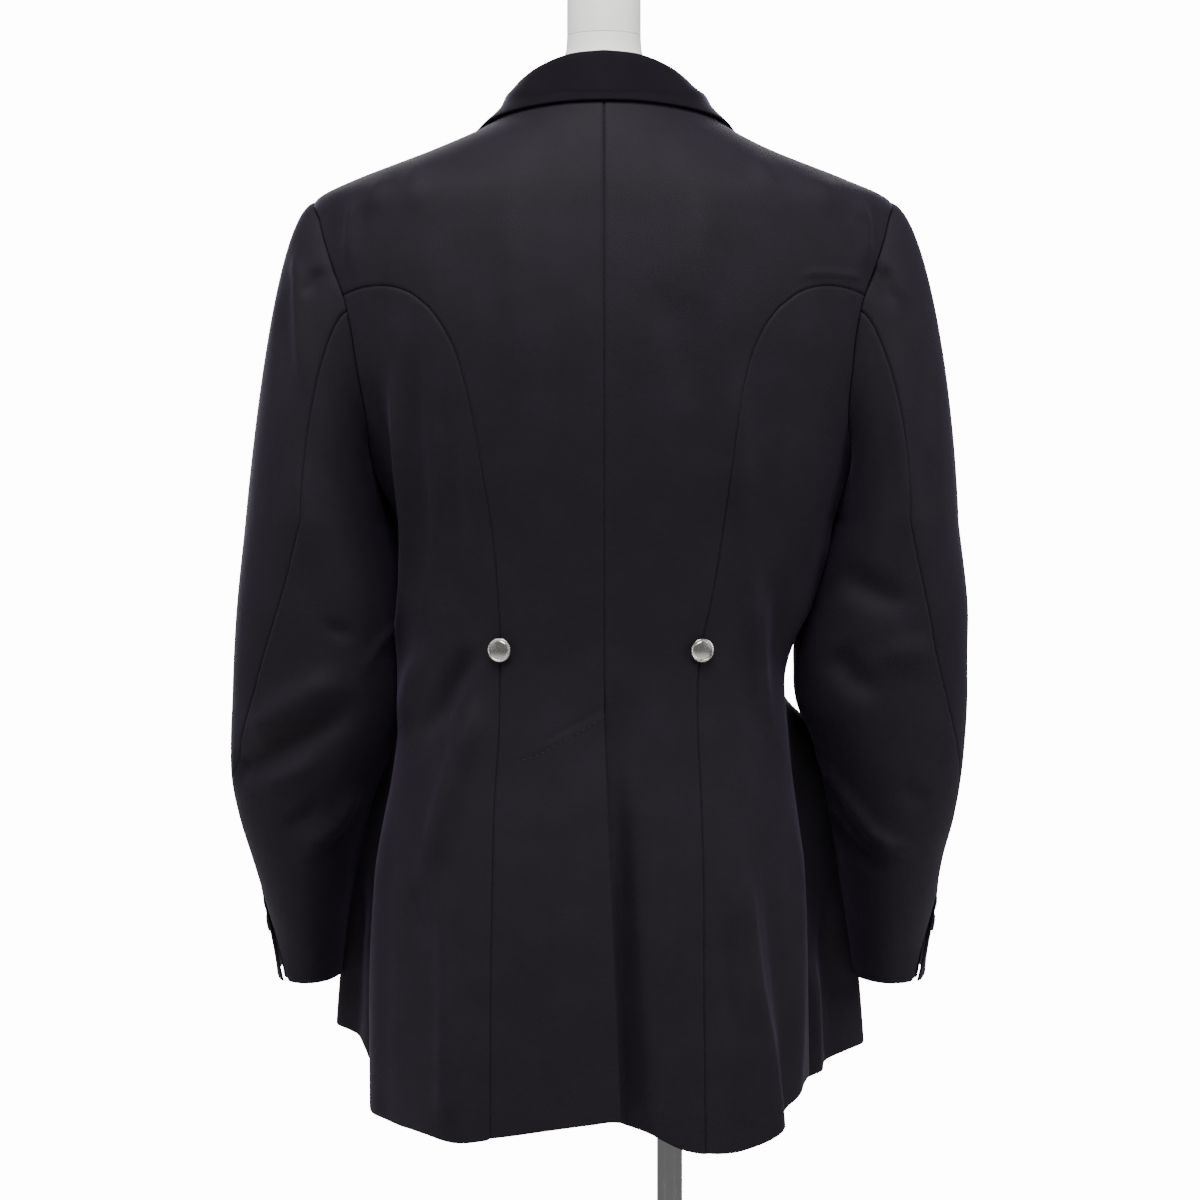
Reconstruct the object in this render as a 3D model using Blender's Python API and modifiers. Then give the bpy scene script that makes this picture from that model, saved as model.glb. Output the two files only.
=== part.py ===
"""A tailored riding jacket on a limbless dress form with a chrome pole and a round base.

Metres, +Z up. The back of the jacket faces +Y and its left side is +X. The origin is on the
floor, at the middle of the base plate. The body cloth is one smooth surface, worked out from
horizontal sections: an angle goes round it from the centre back (0) over the side or the
shoulder line (90) to the centre front (180). Each panel is a patch of that surface.
"""

from math import asin, cos, degrees, exp, pi, radians, sin

import bmesh
import bpy
import numpy as np
from mathutils import Vector
from mathutils.bvhtree import BVHTree

# Cloth
clothThickness = 0.002
seamGap = 0.0003
lapGap = 0.003  # how far an under layer lies below the layer over it, wall and gap
underLapelGap = 0.0031  # more than that where the right lapel's wall lies between them
coveringGap = 0.0008  # between a lapel and the front that it lies on
collarFoldRadius = 0.0026
collarSeamRise = 0.0014  # the collar's stand starts this far above the neck seam
collarLift = 0.0024  # from the body's outer face to the middle of the collar's cloth

# Heights above the floor
neckSeamBack = 1.428
neckSeamSide = 1.432
shoulderTip = 1.357
archJoin = 1.270  # where the curved back seam turns out of the vertical
underarm = 1.150
ventTop = 0.979
underlapTop = 0.955
breakPoint = 1.166  # where the lapel starts to turn back
frontButtonHeights = (1.140, 1.083, 1.026)
backButtonHeight = 1.024
cuffButtonHeights = (0.856, 0.842, 0.828, 0.814)
sideHem = 0.700

# Angles round the body
flareStart = 94.0  # the fronts flare from here
flareSpread = 28.0
frontShiftShare = 0.35  # how much less than the back the fronts shift sideways
sideHemStart = 80.0  # the back hem rises to the side seam from here
lapStart = 148.0  # the left front goes under the right one from here
lapSpread = 24.0

# Grid rows of the back panels: below the vent's underlap, above it and along the arch
lowRows = 6
highRows = 7
archRows = 5

# Overlaps
frontLap = 0.018  # each front passes the centre by this
underlapWidth = 0.040

# Buttons
buttonRadius = 0.0085
cuffButtonRadius = 0.0065
buttonGap = 0.0003
shankShare = 0.24  # the shank's foot as a share of the button's radius

# Stand
poleX = -0.049
poleRadius = 0.0095
baseRadius = 0.185
baseThickness = 0.008
socketRadius = 0.021
socketHeight = 0.045
formBottom = 0.800
neckTop = 1.535
neckRadius = 0.0275

# Body sections: height, half width at the side, half width of the fronts, depth behind and
# before the middle, sideways shift and how square the section is (2 is an ellipse).
bodySections = [
    (0.660, 0.162, 0.223, 0.123, 0.129, 0.0085, 2.2),
    (0.720, 0.162, 0.221, 0.119, 0.126, 0.0090, 2.2),
    (0.790, 0.161, 0.2155, 0.113, 0.122, 0.0094, 2.2),
    (0.844, 0.1585, 0.2090, 0.107, 0.117, 0.0088, 2.2),
    (0.900, 0.153, 0.1970, 0.099, 0.110, 0.0090, 2.2),
    (0.955, 0.146, 0.172, 0.091, 0.104, 0.0082, 2.2),
    (1.006, 0.143, 0.148, 0.088, 0.103, 0.0070, 2.2),
    (1.060, 0.152, 0.152, 0.092, 0.112, -0.0015, 2.25),
    (1.105, 0.162, 0.162, 0.098, 0.121, -0.0050, 2.3),
    (1.150, 0.176, 0.176, 0.105, 0.130, -0.0040, 2.35),
    (1.200, 0.191, 0.191, 0.110, 0.134, -0.0010, 2.35),
    (1.250, 0.206, 0.206, 0.113, 0.130, 0.0, 2.35),
    (1.300, 0.216, 0.216, 0.111, 0.119, 0.0, 2.35),
    (1.340, 0.217, 0.217, 0.106, 0.108, 0.0, 2.3),
    (1.357, 0.213, 0.213, 0.103, 0.102, 0.0010, 2.2),
    (1.371, 0.185, 0.185, 0.099, 0.096, 0.0025, 2.1),
    (1.3945, 0.125, 0.125, 0.091, 0.082, 0.0015, 2.05),
    (1.414, 0.0862, 0.0862, 0.082, 0.068, -0.0020, 2.0),
    (1.432, 0.0695, 0.0695, 0.070, 0.058, -0.0015, 2.0),
    (1.445, 0.062, 0.062, 0.062, 0.052, -0.0015, 2.0),
]

# The largest folds of the skirt and the back: sideways place and height of the upper and the
# lower end, half width and how far the cloth stands out. Left is positive.
mainFolds = [
    (0.086, 0.930, 0.106, 0.665, 0.024, 0.0090),
    (-0.084, 0.930, -0.128, 0.665, 0.018, 0.0090),
    (0.038, 0.900, 0.040, 0.665, 0.020, -0.0040),
    (-0.030, 0.930, -0.032, 0.665, 0.016, -0.0050),
    (0.124, 1.330, 0.120, 1.060, 0.012, 0.0022),
    (0.148, 1.270, 0.144, 1.050, 0.010, 0.0026),
    (-0.140, 1.300, -0.120, 1.060, 0.014, 0.0022),
]

# The back hem: sideways place, height.
backHem = [
    (-0.160, 0.712), (-0.142, 0.700), (-0.126, 0.676), (-0.112, 0.668), (-0.090, 0.6635),
    (-0.062, 0.667), (-0.033, 0.680), (-0.010, 0.688), (0.010, 0.686), (0.040, 0.681),
    (0.075, 0.6755), (0.105, 0.6715), (0.130, 0.676), (0.155, 0.679), (0.175, 0.684),
]

# The curved back seam: height, distance from the centre back.
curvedSeam = [
    (0.660, 0.0765), (0.758, 0.0760), (0.900, 0.0750), (0.9735, 0.0715), (1.024, 0.0725),
    (1.060, 0.0770), (1.117, 0.0840), (1.146, 0.0885), (1.196, 0.0960), (1.236, 0.1060),
    (1.258, 0.1165), (archJoin, 0.1255),
]
# Its arch, from there to the armhole.
seamArch = [(archJoin, 0.1255), (1.281, 0.1400), (1.2865, 0.1560), (1.2865, 0.1740)]

# The armhole on the body surface: angle, height, from the shoulder tip down the back.
armhole = [
    (90.0, shoulderTip), (76.7, 1.345), (69.3, 1.323), (64.9, 1.304), (61.0, 1.282),
    (60.5, 1.260), (62.0, 1.235), (66.0, 1.205), (73.0, 1.178), (83.0, 1.159), (95.0, underarm),
    (107.0, 1.156), (117.0, 1.175), (124.0, 1.205), (127.0, 1.240), (126.0, 1.275),
    (119.0, 1.310), (107.0, 1.338),
]
archKnot = 4
underarmKnot = 10

# The side seam: height, angle.
sideSeam = [(0.660, 99.0), (1.000, 96.0), (underarm, 95.0)]

# The centre edge of a front: height, distance from the centre front (negative is past it).
frontEdge = [
    (0.742, 0.116), (0.760, 0.094), (0.800, 0.064), (0.860, 0.026), (0.920, -0.002),
    (0.970, -0.015), (1.005, -frontLap),
]
# The line on which the lapel turns back.
rollLine = [(breakPoint, -frontLap), (1.240, 0.010), (1.320, 0.033), (1.395, 0.051)]
# The outer edge of the lapel and its top edge, which makes the notch with the collar.
lapelEdge = [(breakPoint, -frontLap), (1.205, 0.018), (1.255, 0.056), (1.305, 0.089), (1.338, 0.103)]
lapelTop = [(1.395, 0.051), (1.372, 0.066), (1.350, 0.078), (1.338, 0.103)]
# The neck seam of a front, from the lapel to the shoulder seam: angle, height.
frontNeck = [(155.9, 1.395), (138.0, 1.414), (112.0, 1.428), (90.0, neckSeamSide)]
# The front hem: angle, height.
frontHem = [
    (99.0, 0.700), (102.0, 0.709), (105.0, 0.7155), (112.0, 0.7245), (118.0, 0.7285), (126.0, 0.730),
    (134.0, 0.731), (141.0, 0.733), (147.8, 0.742),
]

# The collar: angle round the neck, half width, depth and height of its folded edge, then the
# angle and the height of its lower edge on the body.
collarSections = [
    (0.0, 0.0620, 0.063, 1.4590, 0.0, 1.4205),
    (25.0, 0.0615, 0.063, 1.4568, 20.0, 1.4200),
    (50.0, 0.0622, 0.062, 1.4500, 45.0, 1.4175),
    (75.0, 0.0632, 0.058, 1.4420, 72.0, 1.4135),
    (95.0, 0.0645, 0.058, 1.4360, 95.0, 1.4090),
    (118.0, 0.0650, 0.060, 1.4350, 116.0, 1.3970),
    (140.0, 0.0650, 0.069, 1.4230, 133.0, 1.3790),
    (152.0, 0.0760, 0.0765, 1.4110, 141.0, 1.3640),
]

# Sleeve sections: height, then centre and half width on the left and on the right, depth
# place, half depth, and the angles of the back and front seams (0 is outward, 90 is behind).
sleeveSections = [
    (1.118, 0.2155, 0.0525, 0.2188, 0.0463, -0.008, 0.064, 84.0, -112.0),
    (1.060, 0.2135, 0.0607, 0.2138, 0.0582, -0.010, 0.061, 67.0, -108.0),
    (1.020, 0.2146, 0.0625, 0.2078, 0.0645, -0.013, 0.058, 55.0, -106.0),
    (0.986, 0.2159, 0.0628, 0.2082, 0.0645, -0.017, 0.057, 44.0, -104.0),
    (0.956, 0.2195, 0.0610, 0.2140, 0.0575, -0.023, 0.057, 32.0, -103.0),
    (0.926, 0.2260, 0.0545, 0.2182, 0.0509, -0.031, 0.057, 17.0, -102.0),
    (0.896, 0.2280, 0.0472, 0.2187, 0.0458, -0.040, 0.057, 7.0, -101.0),
    (0.867, 0.2274, 0.0396, 0.2177, 0.0397, -0.049, 0.056, 2.0, -100.0),
    (0.837, 0.2259, 0.0329, 0.2173, 0.0356, -0.058, 0.055, 10.0, -100.0),
    (0.807, 0.2245, 0.0281, 0.2165, 0.0316, -0.067, 0.053, 30.0, -100.0),
    (0.777, 0.2245, 0.0257, 0.2172, 0.0291, -0.0755, 0.051, 50.0, -100.0),
]
capRings = 7
headStandOff = 0.0020  # how far the sleeve head starts above the armhole's edge
capLean = {1: 0.011, -1: 0.004}  # how far each sleeve head leans in above its first ring
frontHemSpread = 5.0  # degrees over which the tilt of the fronts' hem grows
frontHemTilt = 0.007  # the left front hangs higher than the right one by twice this
armholeSeamAngles = (80.0, -118.0)

# The dress form: height, half width, depth behind, depth before, sideways shift.
formSections = [
    (0.800, 0.128, 0.078, 0.080, 0.006),
    (0.806, 0.138, 0.086, 0.088, 0.006),
    (0.880, 0.134, 0.082, 0.088, 0.006),
    (0.960, 0.122, 0.076, 0.084, 0.006),
    (1.010, 0.116, 0.073, 0.083, 0.005),
    (1.070, 0.126, 0.077, 0.090, 0.0),
    (1.140, 0.148, 0.088, 0.108, -0.003),
    (1.200, 0.166, 0.096, 0.112, 0.0),
    (1.260, 0.178, 0.101, 0.108, 0.0),
    (1.310, 0.186, 0.101, 0.100, 0.0),
    (1.345, 0.188, 0.098, 0.094, 0.0),
    (1.360, 0.178, 0.096, 0.091, 0.0),
    (1.371, 0.168, 0.0945, 0.089, 0.0),
    (1.383, 0.1445, 0.0915, 0.084, 0.0),
    (1.3945, 0.1165, 0.0868, 0.0700, 0.0),
    (1.404, 0.0965, 0.0820, 0.0600, 0.0),
    (1.414, 0.0775, 0.0755, 0.0500, 0.0),
    (1.424, 0.0620, 0.0650, 0.0440, 0.0),
    (1.434, 0.0520, 0.0540, 0.0400, 0.0),
    (1.448, 0.0380, 0.0380, 0.036, 0.0),
    (1.466, 0.0290, 0.0290, 0.0285, 0.0),
    (1.480, neckRadius, neckRadius, neckRadius, 0.0),
]

materials = {
    "wool": ((0.030, 0.026, 0.034, 1.0), 0.82, 0.0),
    "velvet": ((0.016, 0.012, 0.024, 1.0), 0.95, 0.0),
    "silver": ((0.62, 0.61, 0.60, 1.0), 0.25, 1.0),
    "chrome": ((0.75, 0.75, 0.76, 1.0), 0.12, 1.0),
    "steel": ((0.55, 0.55, 0.56, 1.0), 0.35, 1.0),
    "form": ((0.86, 0.86, 0.85, 1.0), 0.55, 0.0),
}


def clearScene():
    for item in list(bpy.data.objects):
        bpy.data.objects.remove(item, do_unlink=True)


def newCollection(name):
    collection = bpy.data.collections.new(name)
    bpy.context.scene.collection.children.link(collection)
    return collection


def materialFor(name, kind):
    colour, roughness, metallic = materials[kind]
    made = bpy.data.materials.new(name + "_" + kind)
    made.use_nodes = True
    shader = made.node_tree.nodes["Principled BSDF"]
    shader.inputs["Base Color"].default_value = colour
    shader.inputs["Roughness"].default_value = roughness
    shader.inputs["Metallic"].default_value = metallic
    made.diffuse_color = colour
    return made


def addObject(name, mesh, kind):
    made = bpy.data.objects.new(name, mesh)
    jacketCollection.objects.link(made)
    mesh.materials.append(materialFor(name, kind))
    mesh.shade_smooth()
    mesh.set_sharp_from_angle(angle=radians(40))
    return made


def smoothStep(value):
    value = min(max(value, 0.0), 1.0)
    return value * value * (3 - 2 * value)


def through(rows, place, column=1):
    """The value of a column at a place in the first column, on a smooth curve through the rows."""
    keys = [row[0] for row in rows]
    values = [row[column] for row in rows]
    if keys[0] > keys[-1]:
        keys.reverse()
        values.reverse()
    place = min(max(place, keys[0]), keys[-1])
    index = min(max(int(np.searchsorted(keys, place)) - 1, 0), len(keys) - 2)
    slopes = []
    for at in (index, index + 1):
        low = max(at - 1, 0)
        high = min(at + 1, len(keys) - 1)
        slopes.append((values[high] - values[low]) / (keys[high] - keys[low]))
    step = keys[index + 1] - keys[index]
    part = (place - keys[index]) / step
    squared = part * part
    cubed = squared * part
    return (
        (2 * cubed - 3 * squared + 1) * values[index]
        + (cubed - 2 * squared + part) * step * slopes[0]
        + (3 * squared - 2 * cubed) * values[index + 1]
        + (cubed - squared) * step * slopes[1]
    )


def curveThrough(knots, count, closed=False):
    """Evenly spread points on a smooth curve through knots of two numbers."""
    knots = [np.array(knot, float) for knot in knots]
    spans = len(knots) if closed else len(knots) - 1
    fine = []
    for index in range(spans):
        if closed:
            four = [knots[(index + k) % len(knots)] for k in (-1, 0, 1, 2)]
        else:
            four = [knots[min(max(index + k, 0), len(knots) - 1)] for k in (-1, 0, 1, 2)]
        for part in np.linspace(0, 1, 12, endpoint=False):
            fine.append(
                0.5 * (
                    2 * four[1] + (four[2] - four[0]) * part
                    + (2 * four[0] - 5 * four[1] + 4 * four[2] - four[3]) * part**2
                    + (3 * four[1] - four[0] - 3 * four[2] + four[3]) * part**3
                )
            )
    fine.append(knots[0] if closed else knots[-1])
    return evenly(fine, count)


degreeLength = 0.0024  # about the length of one degree round the body


def evenly(points, count):
    """The polyline of angle and height points, as count points an equal way apart on the cloth."""
    points = np.array(points, float)
    steps = np.diff(points, axis=0) * (degreeLength, 1.0)
    run = np.concatenate([[0], np.cumsum(np.hypot(steps[:, 0], steps[:, 1]))])
    places = np.linspace(0, run[-1], count)
    return np.column_stack([np.interp(places, run, points[:, k]) for k in (0, 1)])


def foldHeight(sideways, height):
    """How far the folds move the back cloth outward at this place."""
    total = 0.0
    for topX, topZ, lowX, lowZ, width, depth in mainFolds:
        along = (topZ - height) / (topZ - lowZ)
        if along <= 0 or height < 0.6:
            continue
        centre = topX + (lowX - topX) * min(along, 1.0)
        grown = smoothStep(along) if lowZ < 0.7 else 4 * along * max(1 - along, 0)
        total += depth * grown * exp(-(((sideways - centre) / width) ** 2))
    return total


def bodyFace(angle, height, side):
    """A point of the body cloth's outer face."""
    halfWidth, frontWidth, behind, before, shift, square = (
        through(bodySections, height, column) for column in range(1, 7)
    )
    width = halfWidth + (frontWidth - halfWidth) * smoothStep((angle - flareStart) / flareSpread)
    depth = behind if angle < 90 else before
    across = sin(radians(angle))
    along = cos(radians(angle))
    power = 2 / square
    x = width * abs(across) ** power * (1 if across >= 0 else -1)
    y = depth * abs(along) ** power * (1 if along >= 0 else -1)
    outward = Vector((x / width**2, y / depth**2)).normalized()
    fold = foldHeight(x * side, height) if angle < 90 else 0.0
    x, y = x + outward.x * fold, y + outward.y * fold
    shift *= min(abs(x) / width, 1.0) * (1 - frontShiftShare * smoothStep((angle - flareStart) / flareSpread))
    return Vector((x * side + shift, y, height))


def bodyPoint(angle, height, side=1, inset=0.0):
    """A point of the body cloth, moved inward from its outer face by the inset."""
    place = bodyFace(angle, height, side)
    if inset == 0.0:
        return place
    return place - bodyNormal(angle, height, side) * inset


def bodyNormal(angle, height, side):
    """The direction out of the cloth, from the surface's slopes a little to each side."""
    low = max(height - 0.002, 0.661)
    high = min(height + 0.002, 1.444)
    round_ = bodyFace(angle + 1.5, height, side) - bodyFace(angle - 1.5, height, side)
    up = bodyFace(angle, high, side) - bodyFace(angle, low, side)
    outward = round_.cross(up).normalized()
    place = bodyFace(angle, height, side)
    if outward.x * place.x + outward.y * place.y < 0:
        outward.negate()
    return outward


def backAngle(sideways, height):
    """The angle at which the back cloth is this far from the centre."""
    width = through(bodySections, height, 1)
    square = through(bodySections, height, 6)
    reach = min(abs(sideways) / width, 1.0) ** (square / 2)
    return degrees(asin(reach)) * (1 if sideways >= 0 else -1)


def frontAngle(sideways, height):
    """The angle at which the front cloth is this far from the centre front."""
    width = through(bodySections, height, 2)
    square = through(bodySections, height, 6)
    reach = min(abs(sideways) / width, 1.0) ** (square / 2)
    return 180 - degrees(asin(reach)) * (1 if sideways >= 0 else -1)


def fillPatch(bottom, top, left, right):
    """A grid of points between four edges that share their corners."""
    bottom, top, left, right = (np.array(edge, float) for edge in (bottom, top, left, right))
    columns = np.linspace(0, 1, len(bottom))
    rows = np.linspace(0, 1, len(left))
    grid = np.empty((len(rows), len(columns), 2))
    for j, v in enumerate(rows):
        for i, u in enumerate(columns):
            ruled = (1 - v) * bottom[i] + v * top[i] + (1 - u) * left[j] + u * right[j]
            corners = (1 - u) * (1 - v) * bottom[0] + u * (1 - v) * bottom[-1]
            corners = corners + (1 - u) * v * top[0] + u * v * top[-1]
            grid[j, i] = ruled - corners
    return grid


def onBody(grid, side, inset=None):
    """The grid of angles and heights as pairs of points: the cloth's outer and inner face."""
    placed = []
    for row in grid:
        placed.append([])
        for angle, height in row:
            depth = inset(angle, height) if inset else 0.0
            outer = bodyPoint(angle, height, side, depth)
            placed[-1].append((outer, bodyPoint(angle, height, side, depth + clothThickness)))
    return placed


def clothMesh(name, grids, gap):
    """A closed wall from grids of outer and inner points, drawn back along its border.

    Neighbours take the same points along a seam on both faces, so their walls meet there.
    """
    build = bmesh.new()
    found = {}

    def vertAt(pair):
        key = tuple(round(number, 5) for number in pair[0])
        if key not in found:
            found[key] = (build.verts.new(pair[0]), pair[1])
        return found[key][0]

    for grid in grids:
        rows = [[vertAt(pair) for pair in row] for row in grid]
        for low, high in zip(rows, rows[1:]):
            for i in range(len(low) - 1):
                corners = list(dict.fromkeys((low[i], low[i + 1], high[i + 1], high[i])))
                if len(corners) > 2:
                    build.faces.new(corners)
    bmesh.ops.recalc_face_normals(build, faces=build.faces)
    moves = borderMoves(build, gap / 2)
    inner = {}
    for vert, point in found.values():
        move = moves.get(vert, Vector())
        inner[vert] = build.verts.new(point + move)
    borders = [edge for edge in build.edges if edge.is_boundary]
    for face in list(build.faces):
        build.faces.new([inner[vert] for vert in reversed(face.verts)])
    for edge in borders:
        first, second = edge.verts
        build.faces.new((first, second, inner[second], inner[first]))
    for vert, move in moves.items():
        vert.co += move
    bmesh.ops.recalc_face_normals(build, faces=build.faces)
    mesh = bpy.data.meshes.new(name)
    build.to_mesh(mesh)
    build.free()
    return mesh


def borderMoves(build, distance):
    """How each border point of an open surface moves to draw it back along itself."""
    build.normal_update()
    directions = {}
    for edge in build.edges:
        if not edge.is_boundary:
            continue
        face = edge.link_faces[0]
        along = (edge.verts[1].co - edge.verts[0].co).normalized()
        inward = face.normal.cross(along)
        if inward.dot(face.calc_center_median() - edge.verts[0].co) < 0:
            inward.negate()
        for vert in edge.verts:
            directions.setdefault(vert, []).append(inward)
    moves = {}
    for vert, found in directions.items():
        mean = sum(found, Vector()).normalized()
        moves[vert] = mean * distance / max(mean.dot(found[0]), 0.5)
    return moves


def addPanel(name, grids, kind="wool", gap=seamGap):
    return addObject(name, clothMesh(name, grids, gap), kind)


# The body's panels


def ventEdge(height):
    """How far the left back's edge passes the centre at the vent."""
    return -0.0125 * max(ventTop - height, 0.0) / (ventTop - 0.68)


def ventInset(sideways, height):
    """The right back dives under the left one at the vent."""
    below = smoothStep((ventTop + 0.03 - height) / 0.05)
    return lapGap * below * smoothStep((sideways + 0.040) / 0.024)


def hemHeight(sideways):
    """The height of the back hem."""
    return through(backHem, sideways)


def lowerSeam(side):
    """The curved seam from the hem to its arch, as angles and heights that both panels use."""
    hemCorner = hemHeight(side * through(curvedSeam, 0.68))
    levels = list(np.linspace(hemCorner, underlapTop, lowRows + 1))
    levels += list(np.linspace(underlapTop, archJoin, highRows + 1))[1:]
    return [(backAngle(through(curvedSeam, height), height), height) for height in levels]


def archSeam():
    """The arch of the curved seam, from there to the armhole."""
    knots = [(backAngle(x, z), z) for z, x in seamArch] + [armhole[archKnot]]
    points = curveThrough(knots, archRows + 1)
    points[0] = (backAngle(through(curvedSeam, archJoin), archJoin), archJoin)
    return points


def sideSeamLine():
    rows = lowRows + highRows + archRows
    heights = np.linspace(sideHem, underarm, rows + 1)
    return [(through(sideSeam, height), height) for height in heights]


def centreLine(side):
    """The centre back edge: the left back laps over the right one at the vent."""
    levels = list(np.linspace(hemHeight(0.0), underlapTop, lowRows + 1))
    levels += list(np.linspace(underlapTop, archJoin, highRows + 1))[1:]
    return [(backAngle(side * ventEdge(height), height), height) for height in levels]


def backPanel(name, side):
    columns, upperRows = 6, 8
    left = centreLine(side)
    right = lowerSeam(side)
    hemPlaces = np.linspace(side * ventEdge(left[0][1]), through(curvedSeam, 0.68), columns + 1)
    bottom = [left[0]]
    for place in hemPlaces[1:-1]:
        height = hemHeight(side * place)
        bottom.append((backAngle(place, height), height))
    bottom.append(right[0])
    split = [(angle, archJoin) for angle in np.linspace(left[-1][0], right[-1][0], columns + 1)]
    lower = fillPatch(bottom, split, left, right)
    base = np.concatenate([split[:-1], archSeam()])
    middle = (45.0, 0.5 * (neckSeamBack + neckSeamSide))
    neck = evenly([(0.0, neckSeamBack), middle, (90.0, neckSeamSide)], columns + 1)
    shoulder = evenly([(90.0, neckSeamSide), (90.0, shoulderTip)], archRows + 1)
    top = np.concatenate([neck[:-1], shoulder])
    armSide = curveThrough(armhole[archKnot::-1], upperRows + 1)
    centre = [(0.0, height) for height in np.linspace(archJoin, neckSeamBack, upperRows + 1)]
    upper = fillPatch(base, top, centre, armSide)

    def inset(angle, height):
        if side == 1:
            return 0.0
        return ventInset(-bodyFace(abs(angle), height, 1).x if angle > 0 else 0.0, height)

    grids = [onBody(lower, side, inset), onBody(upper, side)]
    if side == -1:
        grids.append(underlapGrid(left[: lowRows + 1]))
    return addPanel(name, grids)


def underlapGrid(edge):
    """The part of the right back that lies under the left one below the vent's top."""
    rows = []
    for angle, height in edge:
        row = []
        for place in np.linspace(-ventEdge(height), -underlapWidth, 5):
            lift = 0.55 * max(-place, 0.0) * smoothStep((height - 0.90) / 0.05)
            level = height - lift
            turned = angle if place == -ventEdge(height) else backAngle(place, level)
            depth = ventInset(0.0, height)
            outer = bodyPoint(turned, level, -1, depth)
            row.append((outer, bodyPoint(turned, level, -1, depth + clothThickness)))
        rows.append(row)
    return rows


def sideBackPanel(name, side):
    columns = 8
    left = np.concatenate([lowerSeam(side)[:-1], archSeam()])
    right = sideSeamLine()
    bottom = [left[0]]
    for angle in np.linspace(left[0][0], right[0][0], columns + 1)[1:-1]:
        height = hemHeight(bodyFace(angle, 0.69, side).x)
        toSide = smoothStep((angle - sideHemStart) / (right[0][0] - sideHemStart))
        bottom.append((angle, height + (sideHem - height) * toSide))
    bottom.append(right[0])
    top = curveThrough(armhole[archKnot : underarmKnot + 1], columns + 1)
    return addPanel(name, [onBody(fillPatch(bottom, top, left, right), side)])


def frontInset(side):
    """The left front lies under the right one where they pass the centre."""
    def inset(angle, height):
        if side == -1:
            return 0.0
        underLapel = smoothStep((height - 1.10) / 0.05)
        return (lapGap + underLapelGap * underLapel) * smoothStep((angle - lapStart) / lapSpread)

    return inset


def edgeKnots(rows):
    return [(frontAngle(x, z), z) for z, x in rows]


def frontPanel(name, side):
    columns, shoulderRows, armRows = 5 + archRows, archRows, 11
    seam = sideSeamLine()
    arm = curveThrough(armhole[underarmKnot:] + [armhole[0]], armRows + 1)
    shoulder = evenly([(90.0, shoulderTip), (90.0, neckSeamSide)], shoulderRows + 1)
    right = np.concatenate([seam[:-1], arm[:-1], shoulder])
    left = curveThrough(edgeKnots(frontEdge) + edgeKnots(rollLine), len(right))
    hem = [(a, z + side * frontHemTilt * smoothStep((a - frontHem[0][0]) / frontHemSpread)) for a, z in reversed(frontHem)]
    bottom = curveThrough(hem, columns + 1)
    bottom[0] = left[0]
    bottom[-1] = right[0]
    neck = curveThrough(frontNeck, columns + 1)
    neck[0] = left[-1]
    grid = fillPatch(bottom, neck, left, right)
    return addPanel(name, [onBody(grid, side, frontInset(side))])


def lapel(name, side):
    columns, rows = 5, 14
    base = frontInset(side)
    inner = curveThrough(edgeKnots(rollLine), rows + 1)
    outer = np.array(curveThrough(edgeKnots(lapelEdge), rows + 1))
    start = inner[0]
    bottom = [(start[0] - part, start[1]) for part in np.linspace(0, 1, columns + 1)]
    outer[0] = bottom[-1]
    top = curveThrough(edgeKnots(lapelTop), columns + 1)
    grid = fillPatch(bottom, top, inner, outer)
    lifted = onBody(grid, side, lambda a, h: base(a, h) - clothThickness - coveringGap)
    return addPanel(name, [lifted])


# The collar


def collar(name):
    """A folded band: the stand rises from the neck seam and the fall turns down over it."""
    turns = 25
    last = collarSections[-1][0]
    middle = []
    for signed in np.linspace(-last, last, turns):
        side = 1 if signed >= 0 else -1
        turn = abs(signed)
        width, depth, top, lowAngle, low = (through(collarSections, turn, k) for k in range(1, 6))
        seam = bodyPoint(turn, neckHeight(turn) + collarSeamRise, side, clothThickness / 2)
        fold = Vector((sin(radians(turn)) * side * width, cos(radians(turn)) * depth, top))
        edge = bodyPoint(lowAngle, low, side, -collarLift)
        middle.append(collarProfile(seam, fold, edge, side, turn, lowAngle))
    return addPanel(name, [thickened(middle)], "velvet", 0.0)


def thickened(grid):
    """Pairs of points half the cloth's thickness to each side of a grid of points."""
    pairs = []
    last = len(grid) - 1
    for j, row in enumerate(grid):
        pairs.append([])
        for i, point in enumerate(row):
            round_ = grid[min(j + 1, last)][i] - grid[max(j - 1, 0)][i]
            up = row[min(i + 1, len(row) - 1)] - row[max(i - 1, 0)]
            half = round_.cross(up).normalized() * clothThickness / 2
            pairs[-1].append((point + half, point - half))
    return pairs


def neckHeight(angle):
    """The height of the neck seam at an angle round the body."""
    if angle <= 90:
        return neckSeamBack + (neckSeamSide - neckSeamBack) * angle / 90
    return through([(a, z) for a, z in reversed(frontNeck)], angle)


def collarProfile(seam, fold, edge, side, turn, lowAngle):
    """Points from the neck seam over the fold to the lower edge, clear of the body's cloth."""
    outward = Vector((edge.x - fold.x, edge.y - fold.y, 0.0)).normalized()
    radius = collarFoldRadius
    inner = fold + Vector((0, 0, -radius))
    outer = fold + outward * 2 * radius + Vector((0, 0, -radius))
    points = [seam, seam.lerp(inner, 0.5), inner, fold + outward * radius, outer]
    over = bodyPoint(turn, neckHeight(turn), side, -collarLift - 0.0025)
    middleHeight = 0.5 * (neckHeight(turn) + edge.z)
    middle = bodyPoint(0.5 * (turn + lowAngle), middleHeight, side, -collarLift - 0.001)
    points += [outer.lerp(over, 0.5), over, middle]
    points.append(edge)
    return points


# The sleeves


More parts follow.
